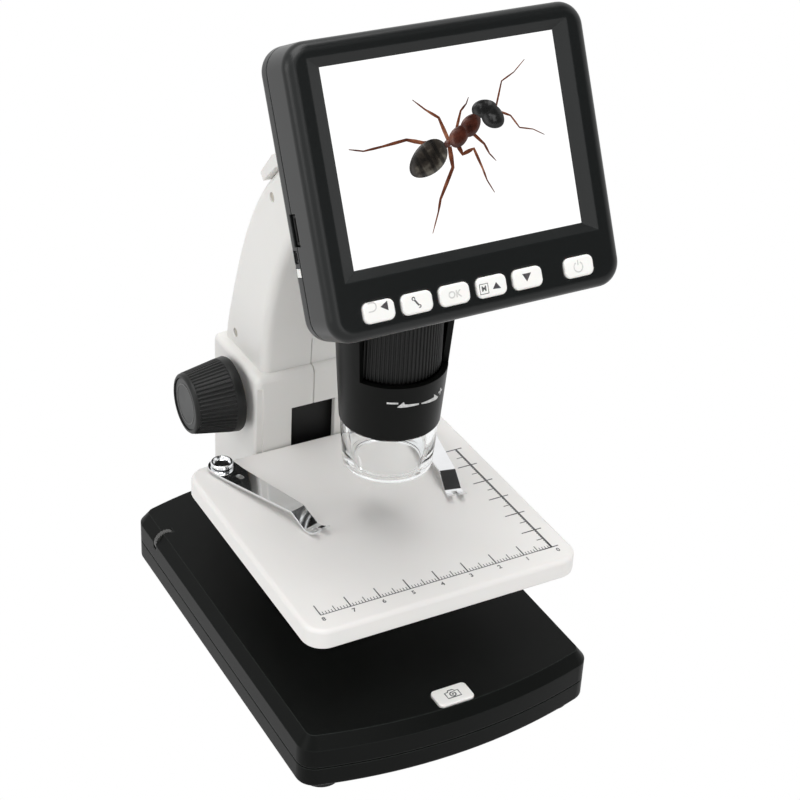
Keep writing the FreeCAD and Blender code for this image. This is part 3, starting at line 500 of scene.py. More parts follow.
@dataclass(frozen=True)
class LitPanel:
    """A lit liquid-crystal panel: white light through fine picture cells."""

    name: str
    colour: Triple
    strength: float
    cells_per_metre: float = 6000.0
    cell_shade: float = 0.985
    unlit: Triple = (0.08, 0.08, 0.08)

    def build(self) -> Material:
        """Make the material.

        Returns:
            The material.
        """
        graph = ShaderGraph(self.name)
        shader = graph.surface(Roughness=0.12, Emission_Strength=self.strength, Specular_IOR_Level=0.3)
        cells = graph.add("ShaderNodeTexChecker")
        cells.inputs["Scale"].default_value = self.cells_per_metre
        graph.join(graph.coordinates, cells.inputs["Vector"])
        dim = tuple(c * self.cell_shade for c in self.colour)
        tint = graph.mix(cells.outputs["Fac"], self.colour, dim)
        graph.join(tint, shader.inputs["Emission Color"])
        shader.inputs["Base Color"].default_value = (*self.unlit, 1.0)
        return graph.material


@dataclass(frozen=True)
class SpecimenHide:
    """The shell of the specimen in the picture, banded and part-glossy, as a lit picture shows it."""

    name: str
    dark: Triple
    middle: Triple
    bright: Triple
    bands: float = 0.0
    band_turn: float = math.radians(26.0)
    band_waver: float = 1.2
    blotches_per_metre: float = 260.0
    blotch_depth: float = 0.0001

    def build(self) -> Material:
        """Make the material.

        Returns:
            The material.
        """
        graph = ShaderGraph(self.name)
        shader = graph.surface(Roughness=0.22, Emission_Strength=0.1, Specular_IOR_Level=0.3)
        blotch = graph.noise(self.blotches_per_metre, 4.0)
        tone = graph.ramp(blotch, [(0.32, self.dark), (0.55, self.middle), (0.72, self.bright)])
        if self.bands:
            turned = graph.add("ShaderNodeMapping")
            turned.inputs["Rotation"].default_value = (0.0, self.band_turn, 0.0)
            graph.join(graph.coordinates, turned.inputs["Vector"])
            rings = graph.add("ShaderNodeTexWave", bands_direction="X")
            rings.inputs["Scale"].default_value = self.bands
            rings.inputs["Distortion"].default_value = self.band_waver
            graph.join(turned.outputs["Vector"], rings.inputs["Vector"])
            mask = graph.ramp(rings.outputs["Fac"], [(0.55, (0.0, 0.0, 0.0)), (0.9, (0.75, 0.75, 0.75))])
            tone = graph.mix(mask, tone, self.dark)
        graph.join(tone, shader.inputs["Base Color"])
        graph.join(tone, shader.inputs["Emission Color"])
        graph.join(graph.bump(blotch, self.blotch_depth, 0.5), shader.inputs["Normal"])
        return graph.material


class FinishRack:
    """Every finish on the microscope, made once and handed out by name."""

    def __init__(self) -> None:
        """Make all the materials."""
        # The edge gains paint a highlight along each plastic's edges; it is strongest on the black plastics.
        self.black_case = MouldedPlastic("satin black plastic", (0.0050, 0.0056, 0.0052), 0.36, edge_gain=9.0,
                                         edge_radius=0.0005, specular=0.06).build()
        self.screen_case = MouldedPlastic("soft grey-black plastic", (0.0052, 0.0062, 0.0062), 0.30,
                                          edge_gain=4.0, edge_radius=0.0006, specular=0.32).build()
        self.white_case = MouldedPlastic("satin white plastic", (0.79, 0.78, 0.755), 0.33, mottle=0.012,
                                         edge_gain=1.03, specular=0.3, through_light=0.04).build()
        self.stage_white = MouldedPlastic("smooth stage plastic", (0.80, 0.785, 0.765), 0.30, mottle=0.012,
                                          grain_strength=0.12, edge_gain=1.03, specular=0.3,
                                          through_light=0.04).build()
        self.screw_cover = MouldedPlastic("beige screw cover", (0.50, 0.47, 0.41), 0.5, mottle=0.05).build()
        self.black_tube = MouldedPlastic("fine matt black plastic", (0.0042, 0.0046, 0.0042), 0.34,
                                         edge_gain=3.0, edge_radius=0.00020, specular=0.10).build()
        self.knob_black = MouldedPlastic("grippy black plastic", (0.0060, 0.0064, 0.0060), 0.42,
                                         edge_gain=2.4, edge_radius=0.00020, specular=0.28).build()
        self.knob_disc = WorkedMetal("turned grey disc", (0.030, 0.032, 0.032), 0.32,
                                     (900.0, 3000.0, 3000.0)).build()
        # Painted highlight: the brightness wheel is made lighter grey than the black base, in place of the
        # light its rim catches; the knob disc bands wear the same grey as their own colour.
        self.wheel_grey = MouldedPlastic("grey plastic, wheel lightened as painted highlight", (0.06, 0.06, 0.058), 0.35,
                                         edge_gain=2.0).build()
        self.inner_black = MouldedPlastic("dull inner plastic", (0.006, 0.006, 0.006), 0.6).build()
        self.white_key = MouldedPlastic("white key plastic", (0.83, 0.825, 0.80), 0.35, mottle=0.012,
                                        edge_gain=1.04, through_light=0.05).build()
        self.battery_wrap = MouldedPlastic("battery wrap", (0.03, 0.08, 0.22), 0.3).build()
        self.steel = WorkedMetal("turned steel", (0.56, 0.56, 0.57), 0.28).build()
        self.chrome = WorkedMetal("polished spring steel", (0.86, 0.87, 0.88), 0.07,
                                  line_strength=0.05).build()
        self.bronze = WorkedMetal("sintered bronze", (0.45, 0.28, 0.13), 0.45).build()
        self.clear_cap = ClearPlastic("clear polished plastic", (0.975, 0.985, 0.985), 0.02, 1.33).build()
        self.glass = ClearPlastic("clear glass", (0.99, 0.995, 1.0), 0.01, 1.45, 0.0).build()
        self.rule_ink = PrintedInk("grey rule ink", (0.075, 0.075, 0.078), (0.14, 0.14, 0.14)).build()
        self.key_ink = PrintedInk("dark key ink", (0.035, 0.03, 0.035), (0.08, 0.075, 0.08)).build()
        self.faint_ink = PrintedInk("faint key ink", (0.52, 0.515, 0.50), (0.62, 0.61, 0.60)).build()
        self.white_ink = PrintedInk("white marking ink", (0.72, 0.72, 0.71), (0.5, 0.5, 0.5)).build()
        self.rubber = Rubber("matt rubber", (0.012, 0.012, 0.012)).build()
        self.board = CircuitBoard("green board", (0.012, 0.10, 0.045), (0.03, 0.20, 0.10),
                                  (0.55, 0.5, 0.35)).build()
        self.dark_board = CircuitBoard("black board", (0.008, 0.008, 0.008), (0.02, 0.02, 0.02),
                                       (0.3, 0.28, 0.22)).build()
        self.lit = LitPanel("lit panel", (1.0, 1.0, 1.0), 1.0).build()
        self.lamp = ClearPlastic("milky lamp lens", (0.95, 0.95, 0.88), 0.3, 1.45).build()
        self.abdomen = SpecimenHide("banded dark shell", (0.005, 0.0045, 0.004), (0.024, 0.020, 0.016),
                                    (0.12, 0.11, 0.09), 95.0).build()
        self.thorax = SpecimenHide("red-brown shell", (0.018, 0.005, 0.003), (0.055, 0.014, 0.008),
                                   (0.14, 0.055, 0.035)).build()
        self.head = SpecimenHide("black shell", (0.003, 0.003, 0.003), (0.012, 0.012, 0.012),
                                 (0.12, 0.12, 0.12)).build()
        self.limb = SpecimenHide("amber limb", (0.045, 0.012, 0.006), (0.11, 0.032, 0.014),
                                 (0.24, 0.095, 0.05)).build()


def finish_piece(piece: Piece, body: Body, replaced: tuple[str, ...] = ()) -> Piece:
    """Hand a finished piece to the frame and report it.

    Args:
        piece: The object, in place, with its material.
        body: The body it rides on.
        replaced: CAD nodes that it stands for.

    Returns:
        The same object.
    """
    if replaced:
        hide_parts(*replaced)
    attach(piece, body.value)
    LOG.info("%s: %d faces on %s", piece.name, len(piece.data.polygons), body.value)
    return piece


def dress(material: Material, *nodes: str) -> None:
    """Put a material in every slot of carried-over CAD nodes.

    Args:
        material: The material.
        nodes: The nodes' names.
    """
    for node in nodes:
        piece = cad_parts[node]
        if not piece.material_slots:
            piece.data.materials.append(material)
        for material_slot in piece.material_slots:
            material_slot.material = material
        LOG.info("%s: dressed in %s", node, material.name)


def mesh_piece(name: str, shape: bmesh.types.BMesh, material: Material, smooth: bool = True) -> Piece:
    """Turn a mesh under work, in millimetres, into an object in metres.

    Args:
        name: The object's name.
        shape: The mesh, which is freed.
        material: Its material.
        smooth: Whether its faces are shaded smooth up to 35 degrees.

    Returns:
        The new object.
    """
    bmesh.ops.scale(shape, vec=(MM, MM, MM), verts=shape.verts)
    bmesh.ops.recalc_face_normals(shape, faces=shape.faces)
    mesh = bpy.data.meshes.new(name)
    shape.to_mesh(mesh)
    shape.free()
    mesh.materials.append(material)
    if smooth:
        mesh.shade_smooth()
        mesh.set_sharp_from_angle(angle=SHARP_ANGLE)
    piece = bpy.data.objects.new(name, mesh)
    bpy.context.scene.collection.objects.link(piece)
    return piece


def join_meshes(name: str, pieces: list[Piece]) -> Piece:
    """Join objects into one plain mesh object.

    Args:
        name: The new object's name.
        pieces: Objects that all sit at the origin; they are removed.

    Returns:
        The joined object, with all their materials.
    """
    shape = bmesh.new()
    materials: list[Material] = []
    for piece in pieces:
        start = len(shape.faces)
        shape.from_mesh(piece.data)
        shape.faces.ensure_lookup_table()
        material = piece.data.materials[0]
        if material not in materials:
            materials.append(material)
        for face in shape.faces[start:]:
            face.material_index = materials.index(material)
        bpy.data.objects.remove(piece)
    bmesh.ops.recalc_face_normals(shape, faces=shape.faces)
    mesh = bpy.data.meshes.new(name)
    shape.to_mesh(mesh)
    shape.free()
    for material in materials:
        mesh.materials.append(material)
    joined = bpy.data.objects.new(name, mesh)
    bpy.context.scene.collection.objects.link(joined)
    return joined


def lathe_piece(name: str, profile: Outline, place: Matrix, material: Material,
                steps: int = 128) -> Piece:
    """A round form turned from a closed profile.

    Args:
        name: The object's name.
        profile: Corners as (radius, distance along the axis), in millimetres.
        place: The turn and move from an axis along Z at the origin to the form's own axis.
        material: Its material.
        steps: How many parts its circle has.

    Returns:
        The form.
    """
    shape = bmesh.new()
    rings = []
    for step in range(steps):
        angle = 2 * math.pi * step / steps
        rings.append([shape.verts.new((r * math.cos(angle), r * math.sin(angle), z)) for r, z in profile])
    count = len(profile)
    for index, ring in enumerate(rings):
        after = rings[(index + 1) % steps]
        for corner in range(count):
            follow = (corner + 1) % count
            if profile[corner][0] or profile[follow][0]:
                shape.faces.new((ring[corner], ring[follow], after[follow], after[corner]))
    bmesh.ops.remove_doubles(shape, verts=shape.verts, dist=WELD_DISTANCE)
    bmesh.ops.transform(shape, matrix=place, verts=shape.verts)
    return mesh_piece(name, shape, material)


@dataclass(frozen=True)
class DrawingPlane:
    """A flat face that marks are laid on, with its own right, up and out directions (mm)."""

    origin: Vector
    right: Vector
    up: Vector

    def matrix(self) -> Matrix:
        """The turn and move from the plane's own frame to the microscope's.

        Returns:
            The matrix.
        """
        out = self.right.cross(self.up)
        columns = Matrix((self.right, self.up, out)).transposed().to_4x4()
        return Matrix.Translation(self.origin) @ columns


def level_plane(x: float, y: float, z: float) -> DrawingPlane:
    """A drawing plane that faces straight up from a point."""
    return DrawingPlane(Vector((x, y, z)), Vector((1, 0, 0)), Vector((0, 1, 0)))


def flat_mark(name: str, outline: Outline, thickness: float, plane: DrawingPlane,
              material: Material) -> Piece:
    """A thin printed mark with a closed outline.

    Args:
        name: The object's name.
        outline: Corner points on the plane, in millimetres.
        thickness: How far the ink stands off the plane.
        plane: Where it lies.
        material: Its ink.

    Returns:
        The mark.
    """
    shape = bmesh.new()
    low = [shape.verts.new((x, y, 0.0)) for x, y in outline]
    bottom = shape.faces.new(low)
    raised = bmesh.ops.extrude_face_region(shape, geom=[bottom])
    lifted = [v for v in raised["geom"] if isinstance(v, bmesh.types.BMVert)]
    bmesh.ops.translate(shape, vec=(0.0, 0.0, thickness), verts=lifted)
    bmesh.ops.transform(shape, matrix=plane.matrix(), verts=shape.verts)
    return mesh_piece(name, shape, material, smooth=False)


def stroke_mark(name: str, points: Outline, width: float, thickness: float, plane: DrawingPlane,
                material: Material, closed: bool = False) -> Piece:
    """A printed line of even width through points.

    Args:
        name: The object's name.
        points: The middle of the line, in millimetres.
        width: The line's width.
        thickness: How far the ink stands off the plane.
        plane: Where it lies.
        material: Its ink.
        closed: Whether the line comes back to its start.

    Returns:
        The mark.
    """
    middle = [Vector((x, y, 0.0)) for x, y in points]
    count = len(middle)
    shape = bmesh.new()
    rows = []
    for index, point in enumerate(middle):
        before = middle[(index - 1) % count] if closed or index else point
        after = middle[(index + 1) % count] if closed or index < count - 1 else point
        along = (after - before).normalized()
        across = Vector((-along.y, along.x, 0.0)) * (width / 2)
        rows.append([shape.verts.new(point + across), shape.verts.new(point - across),
                     shape.verts.new(point - across + Vector((0, 0, thickness))),
                     shape.verts.new(point + across + Vector((0, 0, thickness)))])
    pairs = list(zip(rows, rows[1:]))
    if closed:
        pairs.append((rows[-1], rows[0]))
    for first, second in pairs:
        for side in range(4):
            shape.faces.new((first[side], first[(side + 1) % 4], second[(side + 1) % 4], second[side]))
    if not closed:
        shape.faces.new(rows[0])
        shape.faces.new(list(reversed(rows[-1])))
    bmesh.ops.transform(shape, matrix=plane.matrix(), verts=shape.verts)
    return mesh_piece(name, shape, material, smooth=False)


def arc_points(centre: Pair, radius: float, start: float, end: float, steps: int) -> Outline:
    """Points along an arc.

    Args:
        centre: The arc's centre.
        radius: Its radius.
        start: The first angle in degrees.
        end: The last angle in degrees.
        steps: How many parts it has.

    Returns:
        The points, ends included.
    """
    points = []
    for step in range(steps + 1):
        angle = math.radians(start + (end - start) * step / steps)
        points.append((centre[0] + radius * math.cos(angle), centre[1] + radius * math.sin(angle)))
    return points


def lettering(name: str, text: str, height: float, place: Pair, plane: DrawingPlane, thickness: float,
              material: Material) -> Piece:
    """Plain printed letters or digits, centred on a place.

    Args:
        name: The object's name.
        text: What it says.
        height: The height of a capital, in millimetres.
        place: Its centre on the plane.
        plane: Where it lies.
        thickness: How far the ink stands off the plane.
        material: Its ink.

    Returns:
        The letters as a mesh object.
    """
    curve = bpy.data.curves.new(name, "FONT")
    curve.body = text
    curve.align_x = "CENTER"
    curve.align_y = "CENTER"
    curve.size = height / CAPITAL_SHARE
    curve.extrude = thickness / 2
    curve.resolution_u = 3
    curve.offset = height * LETTER_BOLDNESS
    source = bpy.data.objects.new(name, curve)
    bpy.context.scene.collection.objects.link(source)
    depsgraph = bpy.context.evaluated_depsgraph_get()
    mesh = bpy.data.meshes.new_from_object(source.evaluated_get(depsgraph))
    bpy.data.objects.remove(source)
    shape = bmesh.new()
    shape.from_mesh(mesh)
    bpy.data.meshes.remove(mesh)
    bmesh.ops.remove_doubles(shape, verts=shape.verts, dist=WELD_DISTANCE)
    move = Matrix.Translation(Vector((place[0], place[1], thickness / 2)))
    bmesh.ops.transform(shape, matrix=plane.matrix() @ move, verts=shape.verts)
    return mesh_piece(name, shape, material, smooth=False)


class RepeatTree:
    """A Geometry Nodes tree whose inputs have names and whose result becomes a plain mesh."""

    def __init__(self, name: str) -> None:
        """Start the tree with its group output and its closing nodes.

        Args:
            name: The tree's name.
        """
        self.tree = bpy.data.node_groups.new(name, "GeometryNodeTree")
        self.tree.interface.new_socket("Geometry", in_out="INPUT", socket_type="NodeSocketGeometry")
        self.tree.interface.new_socket("Geometry", in_out="OUTPUT", socket_type="NodeSocketGeometry")
        self.source = self.tree.nodes.new("NodeGroupInput")
        self.result = self.tree.nodes.new("NodeGroupOutput")
        self.keys: dict[str, str] = {}

    def input(self, name: str, kind: str) -> Socket:
        """Add a named input.

        Args:
            name: Its name.
            kind: "Float", "Int", "Vector" or "Material".

        Returns:
            The socket that gives its value inside the tree.
        """
        item = self.tree.interface.new_socket(name, in_out="INPUT", socket_type="NodeSocket" + kind)
        self.keys[name] = item.identifier
        return self.source.outputs[name]

    def node(self, kind: str, **settings: object) -> bpy.types.Node:
        """Add a node and set its properties.

        Args:
            kind: The node's type.
            settings: Its properties, by name.

        Returns:
            The new node.
        """
        node = self.tree.nodes.new(kind)
        for key, value in settings.items():
            setattr(node, key, value)
        return node

    def join(self, start: Socket, end: Socket) -> None:
        """Link two sockets."""
        self.tree.links.new(start, end)

    def maths(self, operation: str, first: Socket | float, second: Socket | float = 0.0
              ) -> Socket:
        """Work out a number from one or two others.

        Args:
            operation: The Math node's operation.
            first: A socket or a number.
            second: A socket or a number.

        Returns:
            The result's socket.
        """
        node = self.node("ShaderNodeMath", operation=operation)
        for socket, value in zip(node.inputs, (first, second)):
            if isinstance(value, Socket):
                self.join(value, socket)
            else:
                socket.default_value = value
        return node.outputs["Value"]

    def vector(self, x: Socket | float, y: Socket | float,
               z: Socket | float) -> Socket:
        """Join three numbers into a vector.

        Args:
            x: A socket or a number.
            y: A socket or a number.
            z: A socket or a number.

        Returns:
            The vector's socket.
        """
        node = self.node("ShaderNodeCombineXYZ")
        for socket, value in zip(node.inputs, (x, y, z)):
            if isinstance(value, Socket):
                self.join(value, socket)
            else:
                socket.default_value = value
        return node.outputs["Vector"]

    def close(self, geometry: Socket, material: Socket) -> None:
        """End the tree in Realize Instances and Set Material.

        Args:
            geometry: The instances.
            material: The material input's socket.
        """
        realize = self.node("GeometryNodeRealizeInstances")
        paint = self.node("GeometryNodeSetMaterial")
        self.join(geometry, realize.inputs["Geometry"])
        self.join(realize.outputs["Geometry"], paint.inputs["Geometry"])
        self.join(material, paint.inputs["Material"])
        self.join(paint.outputs["Geometry"], self.result.inputs["Geometry"])

    def bake(self, name: str, values: dict[str, object]) -> Piece:
        """Run the tree with these input values and keep the result as a plain mesh.

        Args:
            name: The object's name.
            values: Input values by name.

        Returns:
            The new object, without the modifier.
        """
        carrier = bpy.data.objects.new(name + " source", bpy.data.meshes.new(name + " source"))
        bpy.context.scene.collection.objects.link(carrier)
        modifier = carrier.modifiers.new("repeat", "NODES")
        modifier.node_group = self.tree
        for key, value in values.items():
            modifier[self.keys[key]] = value
        depsgraph = bpy.context.evaluated_depsgraph_get()
        mesh = bpy.data.meshes.new_from_object(carrier.evaluated_get(depsgraph))
        mesh.name = name
        mesh.materials.clear()
        mesh.materials.append(values["Material"])
        mesh.polygons.foreach_set("material_index", [0] * len(mesh.polygons))
        carrier.modifiers.remove(modifier)
        bpy.data.objects.remove(carrier)
        piece = bpy.data.objects.new(name, mesh)
        bpy.context.scene.collection.objects.link(piece)
        return piece


def tick_row_tree() -> RepeatTree:
    """A tree that lays even ticks in a straight row.

    Returns:
        The tree, ready to bake.
    """
    repeat = RepeatTree("tick row")
    count = repeat.input("Count", "Int")
    start = repeat.input("Start", "Vector")
    step = repeat.input("Step", "Vector")
    size = repeat.input("Tick Size", "Vector")
    material = repeat.input("Material", "Material")
    line = repeat.node("GeometryNodeMeshLine", mode="OFFSET")
    repeat.join(count, line.inputs["Count"])
    repeat.join(start, line.inputs["Start Location"])
    repeat.join(step, line.inputs["Offset"])
    tick = repeat.node("GeometryNodeMeshCube")
    repeat.join(size, tick.inputs["Size"])
    place = repeat.node("GeometryNodeInstanceOnPoints")
    repeat.join(line.outputs["Mesh"], place.inputs["Points"])
    repeat.join(tick.outputs["Mesh"], place.inputs["Instance"])
    repeat.close(place.outputs["Instances"], material)
    return repeat


def rib_ring_tree() -> RepeatTree:
    """A tree that stands tapered round-topped ribs around an axis along Z, then turns and moves them.

    Returns:
        The tree, ready to bake.
    """
    repeat = RepeatTree("rib ring")
    count = repeat.input("Count", "Int")
    low_radius = repeat.input("Low Radius", "Float")
    high_radius = repeat.input("High Radius", "Float")
    length = repeat.input("Length", "Float")
    width = repeat.input("Rib Width", "Float")
    turn = repeat.input("Turn", "Vector")
    move = repeat.input("Move", "Vector")
    material = repeat.input("Material", "Material")
    line = repeat.node("GeometryNodeCurvePrimitiveLine")
    repeat.join(repeat.vector(low_radius, 0.0, 0.0), line.inputs["Start"])
    repeat.join(repeat.vector(high_radius, 0.0, length), line.inputs["End"])
    finer = repeat.node("GeometryNodeResampleCurve")
    finer.inputs["Count"].default_value = RIB_POINTS
    repeat.join(line.outputs["Curve"], finer.inputs["Curve"])
    profile = repeat.node("GeometryNodeCurvePrimitiveCircle")
    profile.inputs["Resolution"].default_value = RIB_SIDES
    repeat.join(repeat.maths("MULTIPLY", width, 0.5), profile.inputs["Radius"])
    sweep = repeat.node("GeometryNodeCurveToMesh")
    sweep.inputs["Fill Caps"].default_value = True
    repeat.join(finer.outputs["Curve"], sweep.inputs["Curve"])
    repeat.join(profile.outputs["Curve"], sweep.inputs["Profile Curve"])
    points = repeat.node("GeometryNodeMeshLine", mode="OFFSET")
    points.inputs["Offset"].default_value = (0.0, 0.0, 0.0)
    repeat.join(count, points.inputs["Count"])
    index = repeat.node("GeometryNodeInputIndex")
    share = repeat.maths("DIVIDE", index.outputs["Index"], count)
    angle = repeat.maths("MULTIPLY", share, 2.0 * math.pi)
    place = repeat.node("GeometryNodeInstanceOnPoints")
    repeat.join(points.outputs["Mesh"], place.inputs["Points"])
    repeat.join(sweep.outputs["Mesh"], place.inputs["Instance"])
    repeat.join(repeat.vector(0.0, 0.0, angle), place.inputs["Rotation"])
    moved = repeat.node("GeometryNodeTransform")
    repeat.join(place.outputs["Instances"], moved.inputs["Geometry"])
    repeat.join(move, moved.inputs["Translation"])
    repeat.join(turn, moved.inputs["Rotation"])
    repeat.close(moved.outputs["Geometry"], material)
    return repeat


def viewing_rays(tree: bpy.types.NodeTree) -> Socket:
    """A value that is 1 for the camera's, mirrored and see-through rays, and 0 for all others.

    Args:
        tree: The material's or the world's node tree.

    Returns:
        The value's socket.
    """
    path = tree.nodes.new("ShaderNodeLightPath")
    value = path.outputs["Is Camera Ray"]
    for kind in ("Is Transmission Ray", "Is Glossy Ray"):
        highest = tree.nodes.new("ShaderNodeMath")
        highest.operation = "MAXIMUM"
        tree.links.new(value, highest.inputs[0])
        tree.links.new(path.outputs[kind], highest.inputs[1])
        value = highest.outputs["Value"]
    return value


@dataclass
class Studio:
    """The plain pale room, its soft lamps and the camera."""

    camera_place: Triple = (-0.2471, -0.4499, 0.4115)
    azimuth: float = -29.70
    elevation: float = 31.79
    roll: float = 2.95
    lens: float = 87.0
    shift: Pair = (0.0156, -0.0094)
    surround: float = 0.42
    floor_half: float = 3000.0

    def build(self) -> None:
        """Set up the view, the floor, the world and the lamps."""
        bpy.context.scene.view_settings.view_transform = "Standard"
        self.place_camera()
        self.lay_floor()
        self.tint_world()
        self.hang_flag("card over the stage", (230.0, -150.0, 600.0), (30.0, -10.0, 60.0), 170.0)
        self.hang_flag("card before the screen", (430.0, -780.0, 520.0), (0.0, -48.0, 197.0), 330.0)
        self.hang_lamp("top softbox", (0.02, -0.10, 0.95), (0.0, 0.0, 0.06), 0.80, 7.8)
        self.hang_lamp("left softbox", (-0.95, -0.10, 0.50), (0.0, 0.0, 0.09), 0.60, 2.7)
        self.hang_lamp("front softbox", (0.10, -1.05, 0.45), (0.0, 0.0, 0.12), 0.70, 1.7)

    def place_camera(self) -> None:
        """Make the camera at the photograph's place."""
        azimuth = math.radians(self.azimuth)
        elevation = math.radians(self.elevation)
        roll = math.radians(self.roll)
        back = Vector((math.sin(azimuth) * math.cos(elevation), -math.cos(azimuth) * math.cos(elevation),
                       math.sin(elevation)))
        right = (-back).cross(Vector((0.0, 0.0, 1.0))).normalized()
        up = right.cross(-back)
        turned_right = math.cos(roll) * right + math.sin(roll) * up
        turned_up = -math.sin(roll) * right + math.cos(roll) * up
        data = bpy.data.cameras.new("photo camera")
        data.lens = self.lens
        data.sensor_width = 36.0
        data.sensor_fit = "HORIZONTAL"
        data.shift_x, data.shift_y = self.shift
        data.clip_start = 0.01
        camera = bpy.data.objects.new("photo camera", data)
        turn = Matrix((turned_right, turned_up, back)).transposed().to_4x4()
        camera.matrix_world = Matrix.Translation(Vector(self.camera_place)) @ turn
        bpy.context.scene.collection.objects.link(camera)
        bpy.context.scene.camera = camera

    def hang_flag(self, name: str, place: Triple, aim: Triple,
                  half: float) -> None:
        """Hang a dark card that only shines show, as a studio does to darken a reflection.

        Args:
            name: The card's name.
            place: Its middle, in millimetres.
            aim: The point it faces, in millimetres.
            half: Half its side, in millimetres.
        """
        graph = ShaderGraph(name)
        graph.surface(Base_Color=(0.012, 0.012, 0.012), Roughness=0.9, Specular_IOR_Level=0.0)
        shape = bmesh.new()
        bmesh.ops.create_grid(shape, x_segments=1, y_segments=1, size=half)
        turn = (Vector(aim) - Vector(place)).to_track_quat("Z", "Y").to_matrix().to_4x4()
        bmesh.ops.transform(shape, matrix=Matrix.Translation(Vector(place)) @ turn, verts=shape.verts)
        card = mesh_piece(name, shape, graph.material, smooth=False)
        card.visible_camera = False
        card.visible_diffuse = False
        card.visible_transmission = False
        card.visible_shadow = False

    def white_for_view(self, graph: ShaderGraph, shader_output: Socket) -> None:
        """Show plain white to the camera, to metal and through glass, and the shader to everything else.

        Args:
            graph: The material.
            shader_output: What other rays meet.
        """
        white = graph.add("ShaderNodeEmission")
        white.inputs["Color"].default_value = WHITE
        mixed = graph.add("ShaderNodeMixShader")
        graph.join(viewing_rays(graph.tree), mixed.inputs["Fac"])
        graph.join(shader_output, mixed.inputs[1])
        graph.join(white.outputs["Emission"], mixed.inputs[2])
        graph.join(mixed.outputs["Shader"], graph.output.inputs["Surface"])

    def lay_floor(self) -> None:
        """A pale table top that the microscope stands on."""
        graph = ShaderGraph("pale floor")
        shader = graph.surface(Base_Color=(0.86, 0.86, 0.86), Roughness=0.8)
        self.white_for_view(graph, shader.outputs["BSDF"])
        shape = bmesh.new()
        bmesh.ops.create_grid(shape, x_segments=1, y_segments=1, size=self.floor_half)
        floor = mesh_piece("floor", shape, graph.material, smooth=False)

    def tint_world(self) -> None:
        """A white surround that lights the object evenly."""
        world = bpy.data.worlds.new("white surround")
        world.use_nodes = True
        tree = world.node_tree
        tree.nodes.clear()
        output = tree.nodes.new("ShaderNodeOutputWorld")
        mixed = tree.nodes.new("ShaderNodeMixShader")
        tree.links.new(viewing_rays(tree), mixed.inputs["Fac"])
        for socket, strength in ((mixed.inputs[1], self.surround), (mixed.inputs[2], 1.0)):
            background = tree.nodes.new("ShaderNodeBackground")
            background.inputs["Color"].default_value = WHITE
            background.inputs["Strength"].default_value = strength
            tree.links.new(background.outputs["Background"], socket)
        tree.links.new(mixed.outputs["Shader"], output.inputs["Surface"])
        bpy.context.scene.world = world

    def hang_lamp(self, name: str, place: Triple, aim: Triple, size: float,
                  power: float) -> None:
        """Hang a square soft lamp.

        Args:
            name: The lamp's name.
            place: Where it hangs, in metres.
            aim: The point it faces.
            size: Its side, in metres.
            power: Its power, in watts.
        """
        data = bpy.data.lights.new(name, "AREA")
        data.size = size
        data.energy = power
        lamp = bpy.data.objects.new(name, data)
        direction = Vector(aim) - Vector(place)
        turn = direction.to_track_quat("-Z", "Y").to_matrix().to_4x4()
        lamp.matrix_world = Matrix.Translation(Vector(place)) @ turn
        bpy.context.scene.collection.objects.link(lamp)


@dataclass
class StandBase:
    """The black base with its snapshot button and brightness wheel."""

    finishes: FinishRack
    button_top: float = 22.0
    button_y: float = -66.4
    ink: float = 0.03

    def build(self) -> None:
        """Dress the base and print the camera sign on its button."""
        dress(self.finishes.black_case, "base_top_shell", "base_bottom_shell", "battery_door")
        dress(self.finishes.rubber, "rubber_feet")
        dress(self.finishes.steel, "base_screws", "brightness_dial_pin")
        dress(self.finishes.battery_wrap, "battery")
        dress(self.finishes.board, "base_board")
        dress(self.finishes.inner_black, "snapshot_switch")
        # Painted highlight: the wheel's lighter grey shows its lit rim.
        dress(self.finishes.wheel_grey, "brightness_wheel")
        dress(self.finishes.white_key, "snapshot_button")
        self.print_camera_sign()

    def print_camera_sign(self) -> None:
        """A small outlined camera on the snapshot button."""
        plane = level_plane(0.0, self.button_y, self.button_top)
        ink = self.finishes.rule_ink
        body = [(-2.3, -1.6), (2.3, -1.6), (2.3, 1.0), (1.2, 1.0), (0.8, 1.7), (-0.8, 1.7), (-1.2, 1.0),
                (-2.3, 1.0)]
        lens = (0.0, -0.25)
        marks = [
            stroke_mark("camera outline", body, 0.42, self.ink, plane, ink, closed=True),
            stroke_mark("camera lens", arc_points(lens, 0.95, 0, 345, 23), 0.40, self.ink, plane, ink,
                        closed=True),
            flat_mark("camera centre", arc_points(lens, 0.38, 0, 330, 11), self.ink, plane, ink),
        ]
        finish_piece(join_meshes("snapshot_sign", marks), Body.SNAPSHOT)


@dataclass
class Column:
    """The white column, its arm, the cover on top and the screws at its sides."""

    finishes: FinishRack

    def build(self) -> None:
        """Dress the column's nodes."""
        dress(self.finishes.white_case, "column_left_shell", "column_right_shell", "arm_cover")
        dress(self.finishes.screw_cover, "side_screws")
        dress(self.finishes.steel, "guide_rods", "guide_bridge")
        dress(self.finishes.bronze, "shaft_bushes")


